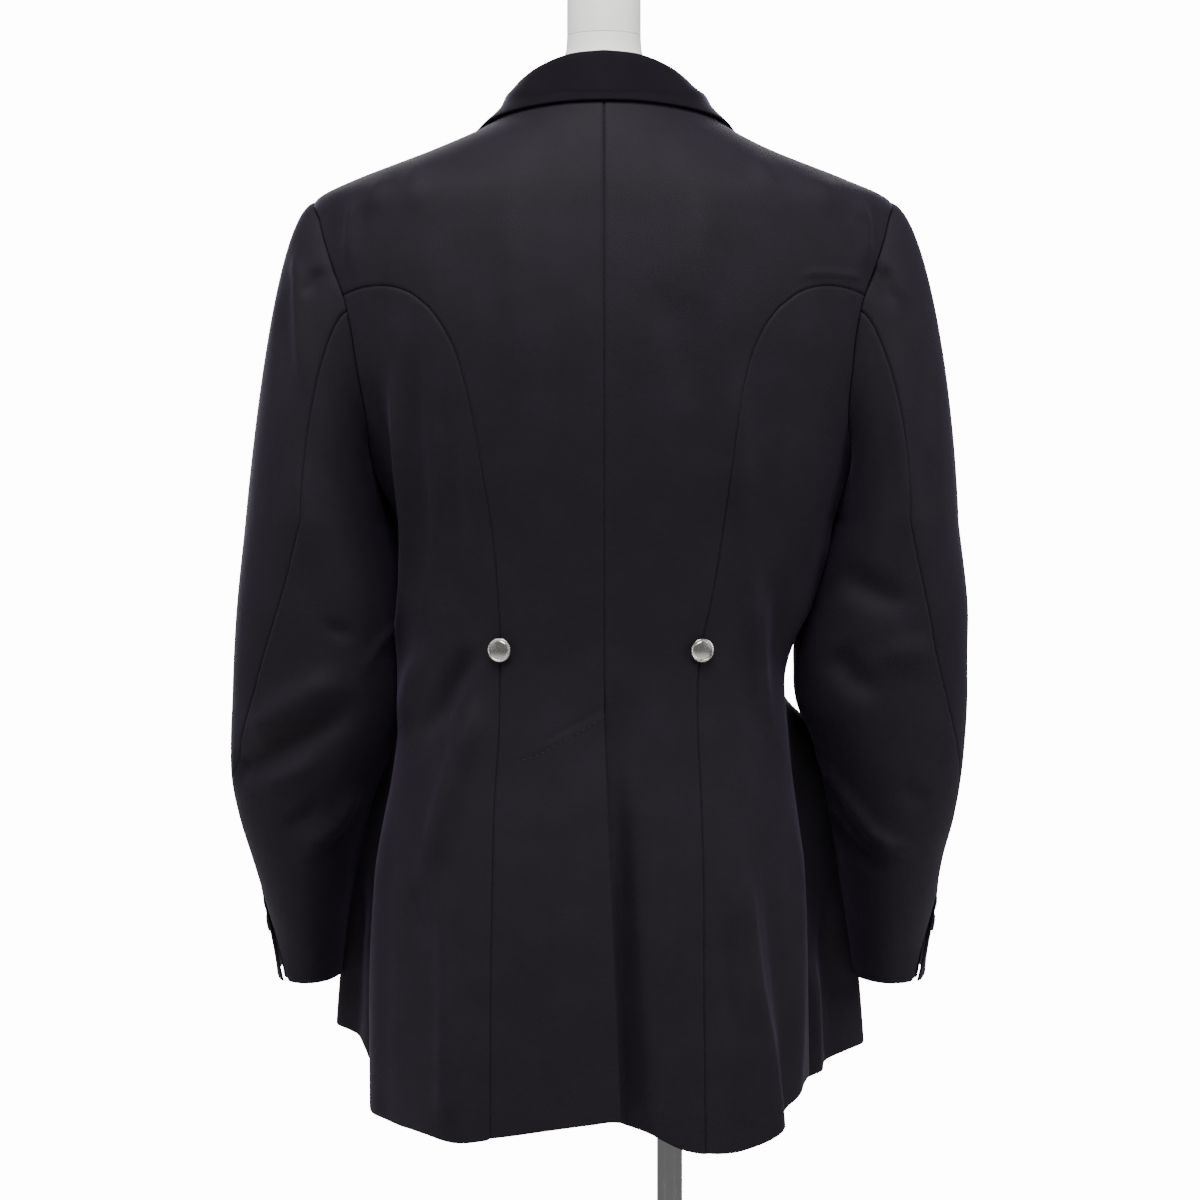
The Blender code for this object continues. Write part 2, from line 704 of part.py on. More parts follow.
def armholeRing(side):
    """The armhole as a function of the angle round the sleeve: 0 is the top, 90 the back."""
    middle = Vector((0.0, 0.002, 1.2535))
    turned = []
    for angle, height in curveThrough(armhole, 73, closed=True)[:-1]:
        point = bodyPoint(angle, height, side, -headStandOff)
        turn = degrees(np.arctan2(point.y - middle.y, (point.z - middle.z) * 0.62))
        turned.append((turn, point))
    turned.sort(key=lambda pair: pair[0])
    angles = [pair[0] for pair in turned]

    def at(angle):
        places = ([pair[1][k] for pair in turned] for k in range(3))
        return Vector([float(np.interp(angle, angles, place, period=360)) for place in places])

    return at


def sleevePoint(side, angle, row):
    """A point of the ring that a row of the table gives."""
    height, centre, half = row[0], row[1 if side == 1 else 3], row[2 if side == 1 else 4]
    slope = -0.12 * smoothStep((1.02 - height) / 0.08)
    across = cos(radians(angle)) * half
    back = sin(radians(angle)) * row[6]
    return Vector((side * (centre + across), row[5] + back, height + back * slope))


def sleevePiece(name, side, top):
    """The top sleeve is the outer piece, the under sleeve the inner one."""
    columns = 12 if top else 9
    surface = sleeveSurface(side)
    grid = []
    for ring in np.linspace(0, capRings + len(sleeveSections) - 1, capRings + 15):
        back, front = seamAngles(ring)
        ends = (front, back) if top else (back, front + 360)
        row = []
        for angle in np.linspace(*ends, columns + 1):
            outer = surface(angle, ring)
            row.append((outer, outer - sleeveNormal(surface, angle, ring, side) * clothThickness))
        grid.append(row)
    return addPanel(name, [grid])


def seamAngles(ring):
    """The angles of the back and front seams of the sleeve at a ring."""
    if ring >= capRings:
        row = blendRows(ring - capRings)
        return row[7], row[8]
    part = ring / capRings
    first = sleeveSections[0]
    return (
        armholeSeamAngles[0] + (first[7] - armholeSeamAngles[0]) * part,
        armholeSeamAngles[1] + (first[8] - armholeSeamAngles[1]) * part,
    )


def sleeveSurface(side):
    """The sleeve's outer face as a function of an angle and a ring number."""
    opening = armholeRing(side)

    def at(angle, ring):
        if ring < capRings:
            return capPoint(side, opening, angle, ring / capRings)
        return sleevePoint(side, angle, blendRows(ring - capRings))

    return at


def sleeveNormal(surface, angle, ring, side):
    low = max(ring - 0.1, 0.0)
    high = min(ring + 0.1, capRings + len(sleeveSections) - 1)
    round_ = surface(angle + 2, ring) - surface(angle - 2, ring)
    along = surface(angle, high) - surface(angle, low)
    return round_.cross(along).normalized() * -side


def blendRows(step):
    """The sleeve table read between its rows, on smooth curves."""
    rows = [(index,) + row for index, row in enumerate(sleeveSections)]
    return [through(rows, step, column) for column in range(1, len(rows[0]))]


def capPoint(side, opening, angle, part):
    """The sleeve head: from the armhole outward, then down to the first ring."""
    start = opening(angle)
    end = sleevePoint(side, angle, sleeveSections[0])
    topness = max(cos(radians(angle)), 0.0)
    underness = max(-cos(radians(angle)), 0.0)
    away = Vector((side, 0.0, 0.10 * topness))
    outward = start + away * (0.0012 + 0.022 * topness + 0.012 * (1 - topness - underness))
    lean = side * (0.002 * underness - capLean[side] * topness)
    above = end + Vector((lean, 0.0, (start.z - end.z) * 0.5))
    return (
        start * (1 - part) ** 3
        + outward * 3 * part * (1 - part) ** 2
        + above * 3 * part**2 * (1 - part)
        + end * part**3
    )


# The buttons


def turnedMesh(name, profile, steps):
    """A closed turned shape from a profile that starts and ends on the axis."""
    mesh = bpy.data.meshes.new(name)
    mesh.from_pydata([(r, 0, z) for r, z in profile], [(k, k + 1) for k in range(len(profile) - 1)], [])
    made = bpy.data.objects.new(name, mesh)
    jacketCollection.objects.link(made)
    screw = made.modifiers.new("turn", "SCREW")
    screw.steps = steps
    screw.render_steps = steps
    screw.use_merge_vertices = True
    screw.merge_threshold = 0.0001
    return made


def addTurned(name, profile, steps, kind):
    made = turnedMesh(name, profile, steps)
    made.data.materials.append(materialFor(name, kind))
    return made


def buttonProfile(radius):
    """From the crown of the dome, over the rim, to the shank's foot."""
    points = []
    for part in (0.0, 0.45, 0.78):
        points.append((radius * part, radius * (0.50 - 0.18 * part * part)))
    points += [(radius * 0.90, radius * 0.42), (radius, radius * 0.33), (radius * 0.93, radius * 0.22)]
    points += [(radius * 0.28, radius * 0.18), (radius * shankShare, 0.0), (0.0, 0.0)]
    return points


def seatOn(panels, place, outward, footRadius):
    """The place moved along the outward line until a foot of this radius just clears the panels."""
    sideways = outward.orthogonal().normalized() * footRadius
    other = outward.cross(sideways)
    reach = 0.02
    highest = -reach
    for panel in panels:
        tree = BVHTree.FromObject(bpy.data.objects[panel], bpy.context.evaluated_depsgraph_get())
        for offset in (Vector(), sideways, -sideways, other, -other):
            start = place + offset + outward * reach
            hit = tree.ray_cast(start, -outward, 2 * reach)
            if hit[0] is not None:
                highest = max(highest, reach - hit[3])
    return place + outward * (highest + buttonGap)


def addButton(name, radius, place, outward, steps, panels):
    made = addTurned(name, buttonProfile(radius), steps, "silver")
    made.rotation_mode = "QUATERNION"
    made.rotation_quaternion = outward.to_track_quat("Z", "Y")
    made.location = seatOn(panels, place, outward, radius * shankShare)
    return made


def addButtons():
    for side, word in ((1, "left"), (-1, "right")):
        angle = backAngle(through(curvedSeam, backButtonHeight), backButtonHeight)
        place = bodyPoint(angle, backButtonHeight, side)
        outward = bodyNormal(angle, backButtonHeight, side)
        panels = ("back_" + word, "side_back_" + word)
        addButton("button_back_" + word, buttonRadius, place, outward, 18, panels)
        for number, height in enumerate(cuffButtonHeights):
            place, outward = cuffPlace(side, height)
            name = f"button_cuff_{word}_{number + 1}"
            addButton(name, cuffButtonRadius, place, outward, 12, ("sleeve_top_" + word,))
    for number, height in enumerate(frontButtonHeights):
        place = bodyPoint(180.0, height, -1)
        outward = bodyNormal(180.0, height, -1)
        name = f"button_front_{number + 1}"
        addButton(name, buttonRadius, place, outward, 18, ("front_right",))


def cuffPlace(side, height):
    """A place on the top sleeve, just before the edge of the cuff's vent."""
    falling = [-row[0] for row in sleeveSections]
    ring = capRings + float(np.interp(-height, falling, range(len(falling))))
    surface = sleeveSurface(side)
    angle = seamAngles(ring)[0] - 26.0
    return surface(angle, ring), sleeveNormal(surface, angle, ring, side)


# The dress form and its stand


def closedLoft(name, rings, kind):
    """A closed solid through rings with the same number of points, with flat ends."""
    build = bmesh.new()
    loops = [[build.verts.new(point) for point in ring] for ring in rings]
    for low, high in zip(loops, loops[1:]):
        for i in range(len(low)):
            after = (i + 1) % len(low)
            build.faces.new((low[i], low[after], high[after], high[i]))
    build.faces.new(list(reversed(loops[0])))
    build.faces.new(loops[-1])
    bmesh.ops.recalc_face_normals(build, faces=build.faces)
    mesh = bpy.data.meshes.new(name)
    build.to_mesh(mesh)
    build.free()
    return addObject(name, mesh, kind)


def formRing(row, count=28):
    height, width, behind, before, shift = row
    power = 2 / (through(bodySections, height, 6) - 0.05)
    ring = []
    for index in range(count):
        turn = 2 * pi * index / count
        across, along = sin(turn), cos(turn)
        x = width * abs(across) ** power * (1 if across >= 0 else -1)
        depth = behind if along >= 0 else before
        y = depth * abs(along) ** power * (1 if along >= 0 else -1)
        ring.append((x + shift, y, height))
    return ring


def addForm():
    rings = [formRing(row) for row in formSections]
    closedLoft("form_torso", rings, "form")
    low = formSections[-1][0] + 0.0003
    profile = [(0.0, neckTop), (0.020, neckTop - 0.001), (0.0255, neckTop - 0.006)]
    profile += [(neckRadius - 0.0004, neckTop - 0.016), (neckRadius, low), (0.0, low)]
    addTurned("form_neck", profile, 32, "form")


def addStand():
    top = formBottom - 0.0003
    addTurned(
        "stand_pole",
        [(0.0, top), (poleRadius, top), (poleRadius, baseThickness + 0.0003), (0.0, baseThickness + 0.0003)],
        24,
        "chrome",
    ).location.x = poleX
    socket = [
        (poleRadius + 0.0003, baseThickness + socketHeight),
        (socketRadius - 0.003, baseThickness + socketHeight),
        (socketRadius, baseThickness + socketHeight - 0.004),
        (socketRadius, baseThickness + 0.008),
        (socketRadius + 0.012, baseThickness + 0.0003),
        (poleRadius + 0.0003, baseThickness + 0.0003),
        (poleRadius + 0.0003, baseThickness + socketHeight),
    ]
    addTurned("stand_socket", socket, 24, "chrome").location.x = poleX
    plate = [
        (0.0, baseThickness), (baseRadius - 0.005, baseThickness), (baseRadius - 0.001, baseThickness - 0.002),
        (baseRadius, baseThickness - 0.005), (baseRadius, 0.001), (baseRadius - 0.001, 0.0), (0.0, 0.0),
    ]
    addTurned("stand_base", plate, 48, "steel")


def buildJacket():
    for side, word in ((1, "left"), (-1, "right")):
        backPanel("back_" + word, side)
        sideBackPanel("side_back_" + word, side)
        frontPanel("front_" + word, side)
        lapel("lapel_" + word, side)
        sleevePiece("sleeve_top_" + word, side, True)
        sleevePiece("sleeve_under_" + word, side, False)
    collar("collar")
    addButtons()


clearScene()
jacketCollection = newCollection("riding_jacket_on_dress_form")
buildJacket()
addForm()
addStand()
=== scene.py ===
from math import cos, pi, radians, sin

import bmesh
import bpy
import numpy as np
from mathutils import Matrix, Vector
from mathutils.bvhtree import BVHTree
from mathutils.kdtree import KDTree


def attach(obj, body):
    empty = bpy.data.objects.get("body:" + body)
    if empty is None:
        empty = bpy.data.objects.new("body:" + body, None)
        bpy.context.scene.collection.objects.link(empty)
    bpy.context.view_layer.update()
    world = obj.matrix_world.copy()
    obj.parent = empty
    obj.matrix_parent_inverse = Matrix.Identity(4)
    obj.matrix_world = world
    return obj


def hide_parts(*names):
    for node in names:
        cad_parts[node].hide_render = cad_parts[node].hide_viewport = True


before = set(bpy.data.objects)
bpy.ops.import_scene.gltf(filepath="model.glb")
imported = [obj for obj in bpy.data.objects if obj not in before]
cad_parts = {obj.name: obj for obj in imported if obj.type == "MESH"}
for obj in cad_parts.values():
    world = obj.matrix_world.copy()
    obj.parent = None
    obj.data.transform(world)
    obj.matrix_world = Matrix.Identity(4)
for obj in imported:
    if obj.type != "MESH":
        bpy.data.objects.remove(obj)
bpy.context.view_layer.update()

# Metres, +Z up. The back of the jacket faces +Y and its left side is +X. The cloth of the body
# is one smooth surface: an angle goes round it from the centre back (0) over the side or the
# shoulder line (90) to the centre front (180), and the second number is the height.

cloth = {
    "thickness": 0.002,
    "step": 0.0027,  # spacing of the mesh
    "edgeSteps": (0.00035, 0.0009, 0.0018),  # finer rows beside each edge
    "seamDip": 0.0013,  # how far the cloth turns in at a sewn seam
    "seamWidth": 0.0021,
    "lapGap": 0.003,
    "underLapel": 0.0031,  # how much further in the left front lies below the lapels
    "lapelGap": 0.0008,
}

heights = {
    "neckSeamBack": 1.428, "neckSeamSide": 1.432, "shoulderTip": 1.357, "archJoin": 1.27,
    "underarm": 1.15, "ventTop": 0.979, "underlapTop": 0.955, "sideHem": 0.7,
    "hemCorner": 0.68,
}

vent = {"lift": 0.0016, "troughPlace": 0.0075, "troughWidth": 0.01, "troughDepth": 0.011}
cuffVent = {"top": 0.858, "gape": 0.0024, "reach": 0.016, "lap": 0.0032, "underlap": 15.0}

# Height, half width at the side, half width of the fronts, depth behind and before the middle,
# sideways shift and how square the section is.
bodySections = [
    (0.66, 0.162, 0.223, 0.123, 0.129, 0.0085, 2.2),
    (0.72, 0.162, 0.221, 0.119, 0.126, 0.009, 2.2),
    (0.79, 0.161, 0.2155, 0.113, 0.122, 0.0094, 2.2),
    (0.844, 0.1585, 0.209, 0.107, 0.117, 0.0088, 2.2),
    (0.9, 0.153, 0.197, 0.099, 0.11, 0.009, 2.2),
    (0.955, 0.146, 0.172, 0.091, 0.104, 0.0082, 2.2),
    (1.006, 0.143, 0.148, 0.088, 0.103, 0.007, 2.2),
    (1.06, 0.152, 0.152, 0.092, 0.112, -0.0015, 2.25),
    (1.105, 0.162, 0.162, 0.098, 0.121, -0.005, 2.3),
    (1.15, 0.176, 0.176, 0.105, 0.13, -0.004, 2.35),
    (1.2, 0.191, 0.191, 0.11, 0.134, -0.001, 2.35),
    (1.25, 0.206, 0.206, 0.113, 0.13, 0.0, 2.35),
    (1.3, 0.216, 0.216, 0.111, 0.119, 0.0, 2.35),
    (1.34, 0.217, 0.217, 0.106, 0.108, 0.0, 2.3),
    (1.357, 0.213, 0.213, 0.103, 0.102, 0.001, 2.2),
    (1.371, 0.185, 0.185, 0.099, 0.096, 0.0025, 2.1),
    (1.3945, 0.125, 0.125, 0.091, 0.082, 0.0015, 2.05),
    (1.414, 0.0862, 0.0862, 0.082, 0.068, -0.002, 2.0),
    (1.432, 0.0695, 0.0695, 0.07, 0.058, -0.0015, 2.0),
    (1.445, 0.062, 0.062, 0.062, 0.052, -0.0015, 2.0),
]

# Sideways place and height of a fold's upper and lower end, half width, depth.
mainFolds = [
    (0.086, 0.93, 0.106, 0.665, 0.024, 0.009),
    (-0.084, 0.93, -0.128, 0.665, 0.018, 0.009),
    (0.038, 0.9, 0.04, 0.665, 0.02, -0.004),
    (-0.03, 0.93, -0.032, 0.665, 0.016, -0.005),
    (0.124, 1.33, 0.12, 1.06, 0.012, 0.0022),
    (0.148, 1.27, 0.144, 1.05, 0.01, 0.0026),
    (-0.14, 1.3, -0.12, 1.06, 0.014, 0.0022),
]

backHem = [
    (-0.16, 0.712), (-0.142, 0.7), (-0.126, 0.676), (-0.112, 0.668), (-0.09, 0.6635),
    (-0.062, 0.667), (-0.033, 0.68), (-0.01, 0.688), (0.01, 0.686), (0.04, 0.681),
    (0.075, 0.6755), (0.105, 0.6715), (0.13, 0.676), (0.155, 0.679), (0.175, 0.684),
]
curvedSeam = [
    (0.66, 0.0765), (0.758, 0.076), (0.9, 0.075), (0.9735, 0.0715), (1.024, 0.0725),
    (1.06, 0.077), (1.117, 0.084), (1.146, 0.0885), (1.196, 0.096), (1.236, 0.106),
    (1.258, 0.1165), (1.27, 0.1255),
]
seamArch = [(1.27, 0.1255), (1.281, 0.14), (1.2865, 0.156), (1.2865, 0.174)]
armhole = [
    (90.0, 1.357), (76.7, 1.345), (69.3, 1.323), (64.9, 1.304), (61.0, 1.282),
    (60.5, 1.26), (62.0, 1.235), (66.0, 1.205), (73.0, 1.178), (83.0, 1.159), (95.0, 1.15),
    (107.0, 1.156), (117.0, 1.175), (124.0, 1.205), (127.0, 1.24), (126.0, 1.275),
    (119.0, 1.31), (107.0, 1.338),
]
archKnot = 4
underarmKnot = 10
sideSeam = [(0.66, 99.0), (1.0, 96.0), (1.15, 95.0)]
frontEdge = [
    (0.742, 0.116), (0.76, 0.094), (0.8, 0.064), (0.86, 0.026), (0.92, -0.002),
    (0.97, -0.015), (1.005, -0.018),
]
rollLine = [(1.166, -0.018), (1.24, 0.01), (1.32, 0.033), (1.395, 0.051)]
lapelEdge = [(1.166, -0.018), (1.205, 0.018), (1.255, 0.056), (1.305, 0.089), (1.338, 0.103)]
lapelTop = [(1.395, 0.051), (1.372, 0.066), (1.35, 0.078), (1.338, 0.103)]
frontNeck = [(155.9, 1.395), (138.0, 1.414), (112.0, 1.428), (90.0, 1.432)]
frontHem = [
    (99.0, 0.7), (102.0, 0.709), (105.0, 0.7155), (112.0, 0.7245), (118.0, 0.7285), (126.0, 0.73),
    (134.0, 0.731), (141.0, 0.733), (147.8, 0.742),
]

# Angle round the neck, half width, depth and height of the folded edge, then the angle and the
# height of the lower edge on the body.
collarSections = [
    (0.0, 0.062, 0.063, 1.459, 0.0, 1.4205),
    (25.0, 0.0615, 0.063, 1.4568, 20.0, 1.42),
    (50.0, 0.0622, 0.062, 1.45, 45.0, 1.4175),
    (75.0, 0.0632, 0.058, 1.442, 72.0, 1.4135),
    (95.0, 0.0645, 0.058, 1.436, 95.0, 1.409),
    (118.0, 0.065, 0.06, 1.435, 116.0, 1.397),
    (140.0, 0.065, 0.069, 1.423, 133.0, 1.379),
    (152.0, 0.076, 0.0765, 1.411, 141.0, 1.364),
]

# Height, centre and half width on the left and on the right, depth place, half depth and the
# angles of the back and front seams (0 is outward, 90 is behind).
sleeveSections = [
    (1.118, 0.2155, 0.0525, 0.2188, 0.0463, -0.008, 0.064, 84.0, -112.0),
    (1.06, 0.2135, 0.0607, 0.2138, 0.0582, -0.01, 0.061, 67.0, -108.0),
    (1.02, 0.2146, 0.0625, 0.2078, 0.0645, -0.013, 0.058, 55.0, -106.0),
    (0.986, 0.2159, 0.0628, 0.2082, 0.0645, -0.017, 0.057, 44.0, -104.0),
    (0.956, 0.2195, 0.061, 0.214, 0.0575, -0.023, 0.057, 32.0, -103.0),
    (0.926, 0.226, 0.0545, 0.2182, 0.0509, -0.031, 0.057, 17.0, -102.0),
    (0.896, 0.228, 0.0472, 0.2187, 0.0458, -0.04, 0.057, 7.0, -101.0),
    (0.867, 0.2274, 0.0396, 0.2177, 0.0397, -0.049, 0.056, 2.0, -100.0),
    (0.837, 0.2259, 0.0329, 0.2173, 0.0356, -0.058, 0.055, 10.0, -100.0),
    (0.807, 0.2245, 0.0281, 0.2165, 0.0316, -0.067, 0.053, 30.0, -100.0),
    (0.777, 0.2245, 0.0257, 0.2172, 0.0291, -0.0755, 0.051, 50.0, -100.0),
]
capRings = 7
lastRing = capRings + len(sleeveSections) - 1
armholeSeamAngles = (80.0, -118.0)
headStandOff = -0.0012
degreeLength = 0.0024  # metres of cloth to a degree round the body
sleeveRadius = 0.06  # turns an angle round the sleeve into metres
capLean = {1: 0.011, -1: 0.004}
frontHemTilt = 0.007


# Curves and surfaces, worked on whole arrays


def smoothStep(value):
    value = np.clip(value, 0.0, 1.0)
    return value * value * (3 - 2 * value)


def cubic(part, step, start, end, startSlope, endSlope):
    # A smooth step between two values that leaves and arrives with these slopes.
    squared, cubed = part**2, part**3
    return (
        (2 * cubed - 3 * squared + 1) * start + (cubed - 2 * squared + part) * step * startSlope
        + (3 * squared - 2 * cubed) * end + (cubed - squared) * step * endSlope
    )


def through(rows, places, column=1):
    # A smooth curve through a table's column, read at these places of its first column.
    keys = np.array([row[0] for row in rows], float)
    values = np.array([row[column] for row in rows], float)
    if keys[0] > keys[-1]:
        keys, values = keys[::-1], values[::-1]
    places = np.clip(places, keys[0], keys[-1])
    index = np.clip(np.searchsorted(keys, places) - 1, 0, len(keys) - 2)
    low = np.maximum(np.arange(len(keys)) - 1, 0)
    high = np.minimum(np.arange(len(keys)) + 1, len(keys) - 1)
    slopes = (values[high] - values[low]) / (keys[high] - keys[low])
    step = keys[index + 1] - keys[index]
    part = (places - keys[index]) / step
    return cubic(part, step, values[index], values[index + 1], slopes[index], slopes[index + 1])


def curveThrough(knots, count=240, closed=False):
    knots = [np.array(knot, float) for knot in knots]
    fine = []
    for index in range(len(knots) if closed else len(knots) - 1):
        if closed:
            four = [knots[(index + k) % len(knots)] for k in (-1, 0, 1, 2)]
        else:
            four = [knots[min(max(index + k, 0), len(knots) - 1)] for k in (-1, 0, 1, 2)]
        for part in np.linspace(0, 1, 12, endpoint=False):
            fine.append(0.5 * (
                2 * four[1] + (four[2] - four[0]) * part
                + (2 * four[0] - 5 * four[1] + 4 * four[2] - four[3]) * part**2
                + (3 * four[1] - four[0] - 3 * four[2] + four[3]) * part**3
            ))
    fine.append(knots[0] if closed else knots[-1])
    return evenly(fine, count)


def evenly(points, count):
    points = np.array(points, float)
    steps = np.diff(points, axis=0) * (degreeLength, 1.0)
    run = np.concatenate([[0], np.cumsum(np.hypot(steps[:, 0], steps[:, 1]))])
    places = np.linspace(0, run[-1], count)
    return np.column_stack([np.interp(places, run, points[:, k]) for k in (0, 1)])


def joined(*parts):
    # Curves end to end, each over its own share of the whole edge.
    total = sum(share for share, _ in parts)
    params, points, start = [], [], 0.0
    for share, curve in parts:
        params.append(start + np.linspace(0, share / total, len(curve)))
        points.append(curve)
        start += share / total
    return np.concatenate(params), np.concatenate(points)


def readEdge(edge, places):
    params, points = edge
    return np.column_stack([np.interp(places, params, points[:, k]) for k in (0, 1)])


def fillPatch(bottom, top, left, right, us, vs):
    edges = [edge if isinstance(edge, tuple) else joined((1, edge)) for edge in (bottom, top, left, right)]
    low, high = readEdge(edges[0], us)[None], readEdge(edges[1], us)[None]
    near, far = readEdge(edges[2], vs)[:, None], readEdge(edges[3], vs)[:, None]
    u, v = us[None, :, None], vs[:, None, None]
    corners = (1 - u) * (1 - v) * low[:, :1] + u * (1 - v) * low[:, -1:]
    corners = corners + (1 - u) * v * high[:, :1] + u * v * high[:, -1:]
    return (1 - v) * low + v * high + (1 - u) * near + u * far - corners


def fineSteps(length, starts=True, ends=True):
    # Places from 0 to 1 along an edge of this length, closer together beside its ends.
    count = max(int(round(length / cloth["step"])), 2)
    places = np.linspace(0, 1, count + 1)
    extra = np.array(cloth["edgeSteps"]) / length
    clear = extra[-1] * 1.4
    found = [places[(places == 0) | (places == 1) | ((places > clear) & (places < 1 - clear))]]
    if starts:
        found.append(extra)
    if ends:
        found.append(1 - extra)
    return np.unique(np.concatenate(found))


def foldHeight(sideways, height):
    total = np.zeros(np.shape(sideways))
    for topX, topZ, lowX, lowZ, width, depth in mainFolds:
        along = (topZ - height) / (topZ - lowZ)
        centre = topX + (lowX - topX) * np.minimum(along, 1.0)
        grown = smoothStep(along) if lowZ < 0.7 else 4 * along * np.maximum(1 - along, 0)
        beside = (sideways - centre) / width
        total = total + np.where(along > 0, depth * grown, 0.0) * np.exp(-(beside**2))
    return total


def bodyFace(angle, height, side):
    half, front, behind, before, shift, square = (
        through(bodySections, height, column) for column in range(1, 7)
    )
    width = half + (front - half) * smoothStep((angle - 94) / 28)
    depth = np.where(angle < 90, behind, before)
    across, along = np.sin(np.radians(angle)), np.cos(np.radians(angle))
    x = width * np.abs(across) ** (2 / square) * np.where(across >= 0, 1, -1)
    y = depth * np.abs(along) ** (2 / square) * np.where(along >= 0, 1, -1)
    outX, outY = x / width**2, y / depth**2
    size = np.hypot(outX, outY)
    fold = np.where(angle < 90, foldHeight(x * side, height), 0.0)
    x, y = x + outX / size * fold, y + outY / size * fold
    shift = shift * np.minimum(np.abs(x) / width, 1.0) * (1 - 0.35 * smoothStep((angle - 94) / 28))
    return np.stack([x * side + shift, y, height + 0 * x], -1)


def unit(vectors):
    return vectors / np.maximum(np.linalg.norm(vectors, axis=-1, keepdims=True), 1e-12)


def bodyNormal(angle, height, side):
    low, high = np.maximum(height - 0.002, 0.661), np.minimum(height + 0.002, 1.444)
    round_ = bodyFace(angle + 1.5, height, side) - bodyFace(angle - 1.5, height, side)
    up = bodyFace(angle, high, side) - bodyFace(angle, low, side)
    outward = unit(np.cross(round_, up))
    place = bodyFace(angle, height, side)
    turned = np.sum(outward[..., :2] * place[..., :2], -1, keepdims=True) < 0
    return np.where(turned, -outward, outward)


def backAngle(sideways, height, column=1):
    reach = np.minimum(np.abs(sideways) / through(bodySections, height, column), 1.0)
    turned = np.degrees(np.arcsin(reach ** (through(bodySections, height, 6) / 2)))
    return turned * np.where(np.asarray(sideways) >= 0, 1, -1)


def frontAngle(sideways, height):
    return 180 - backAngle(sideways, height, 2)


def hemHeight(sideways):
    return through(backHem, sideways)


# Creases: each is a soft ridge (+) or trough (-) along a short path of points (sideways place
# and height), with its half width, its depth and the shares over which it fades at both ends.

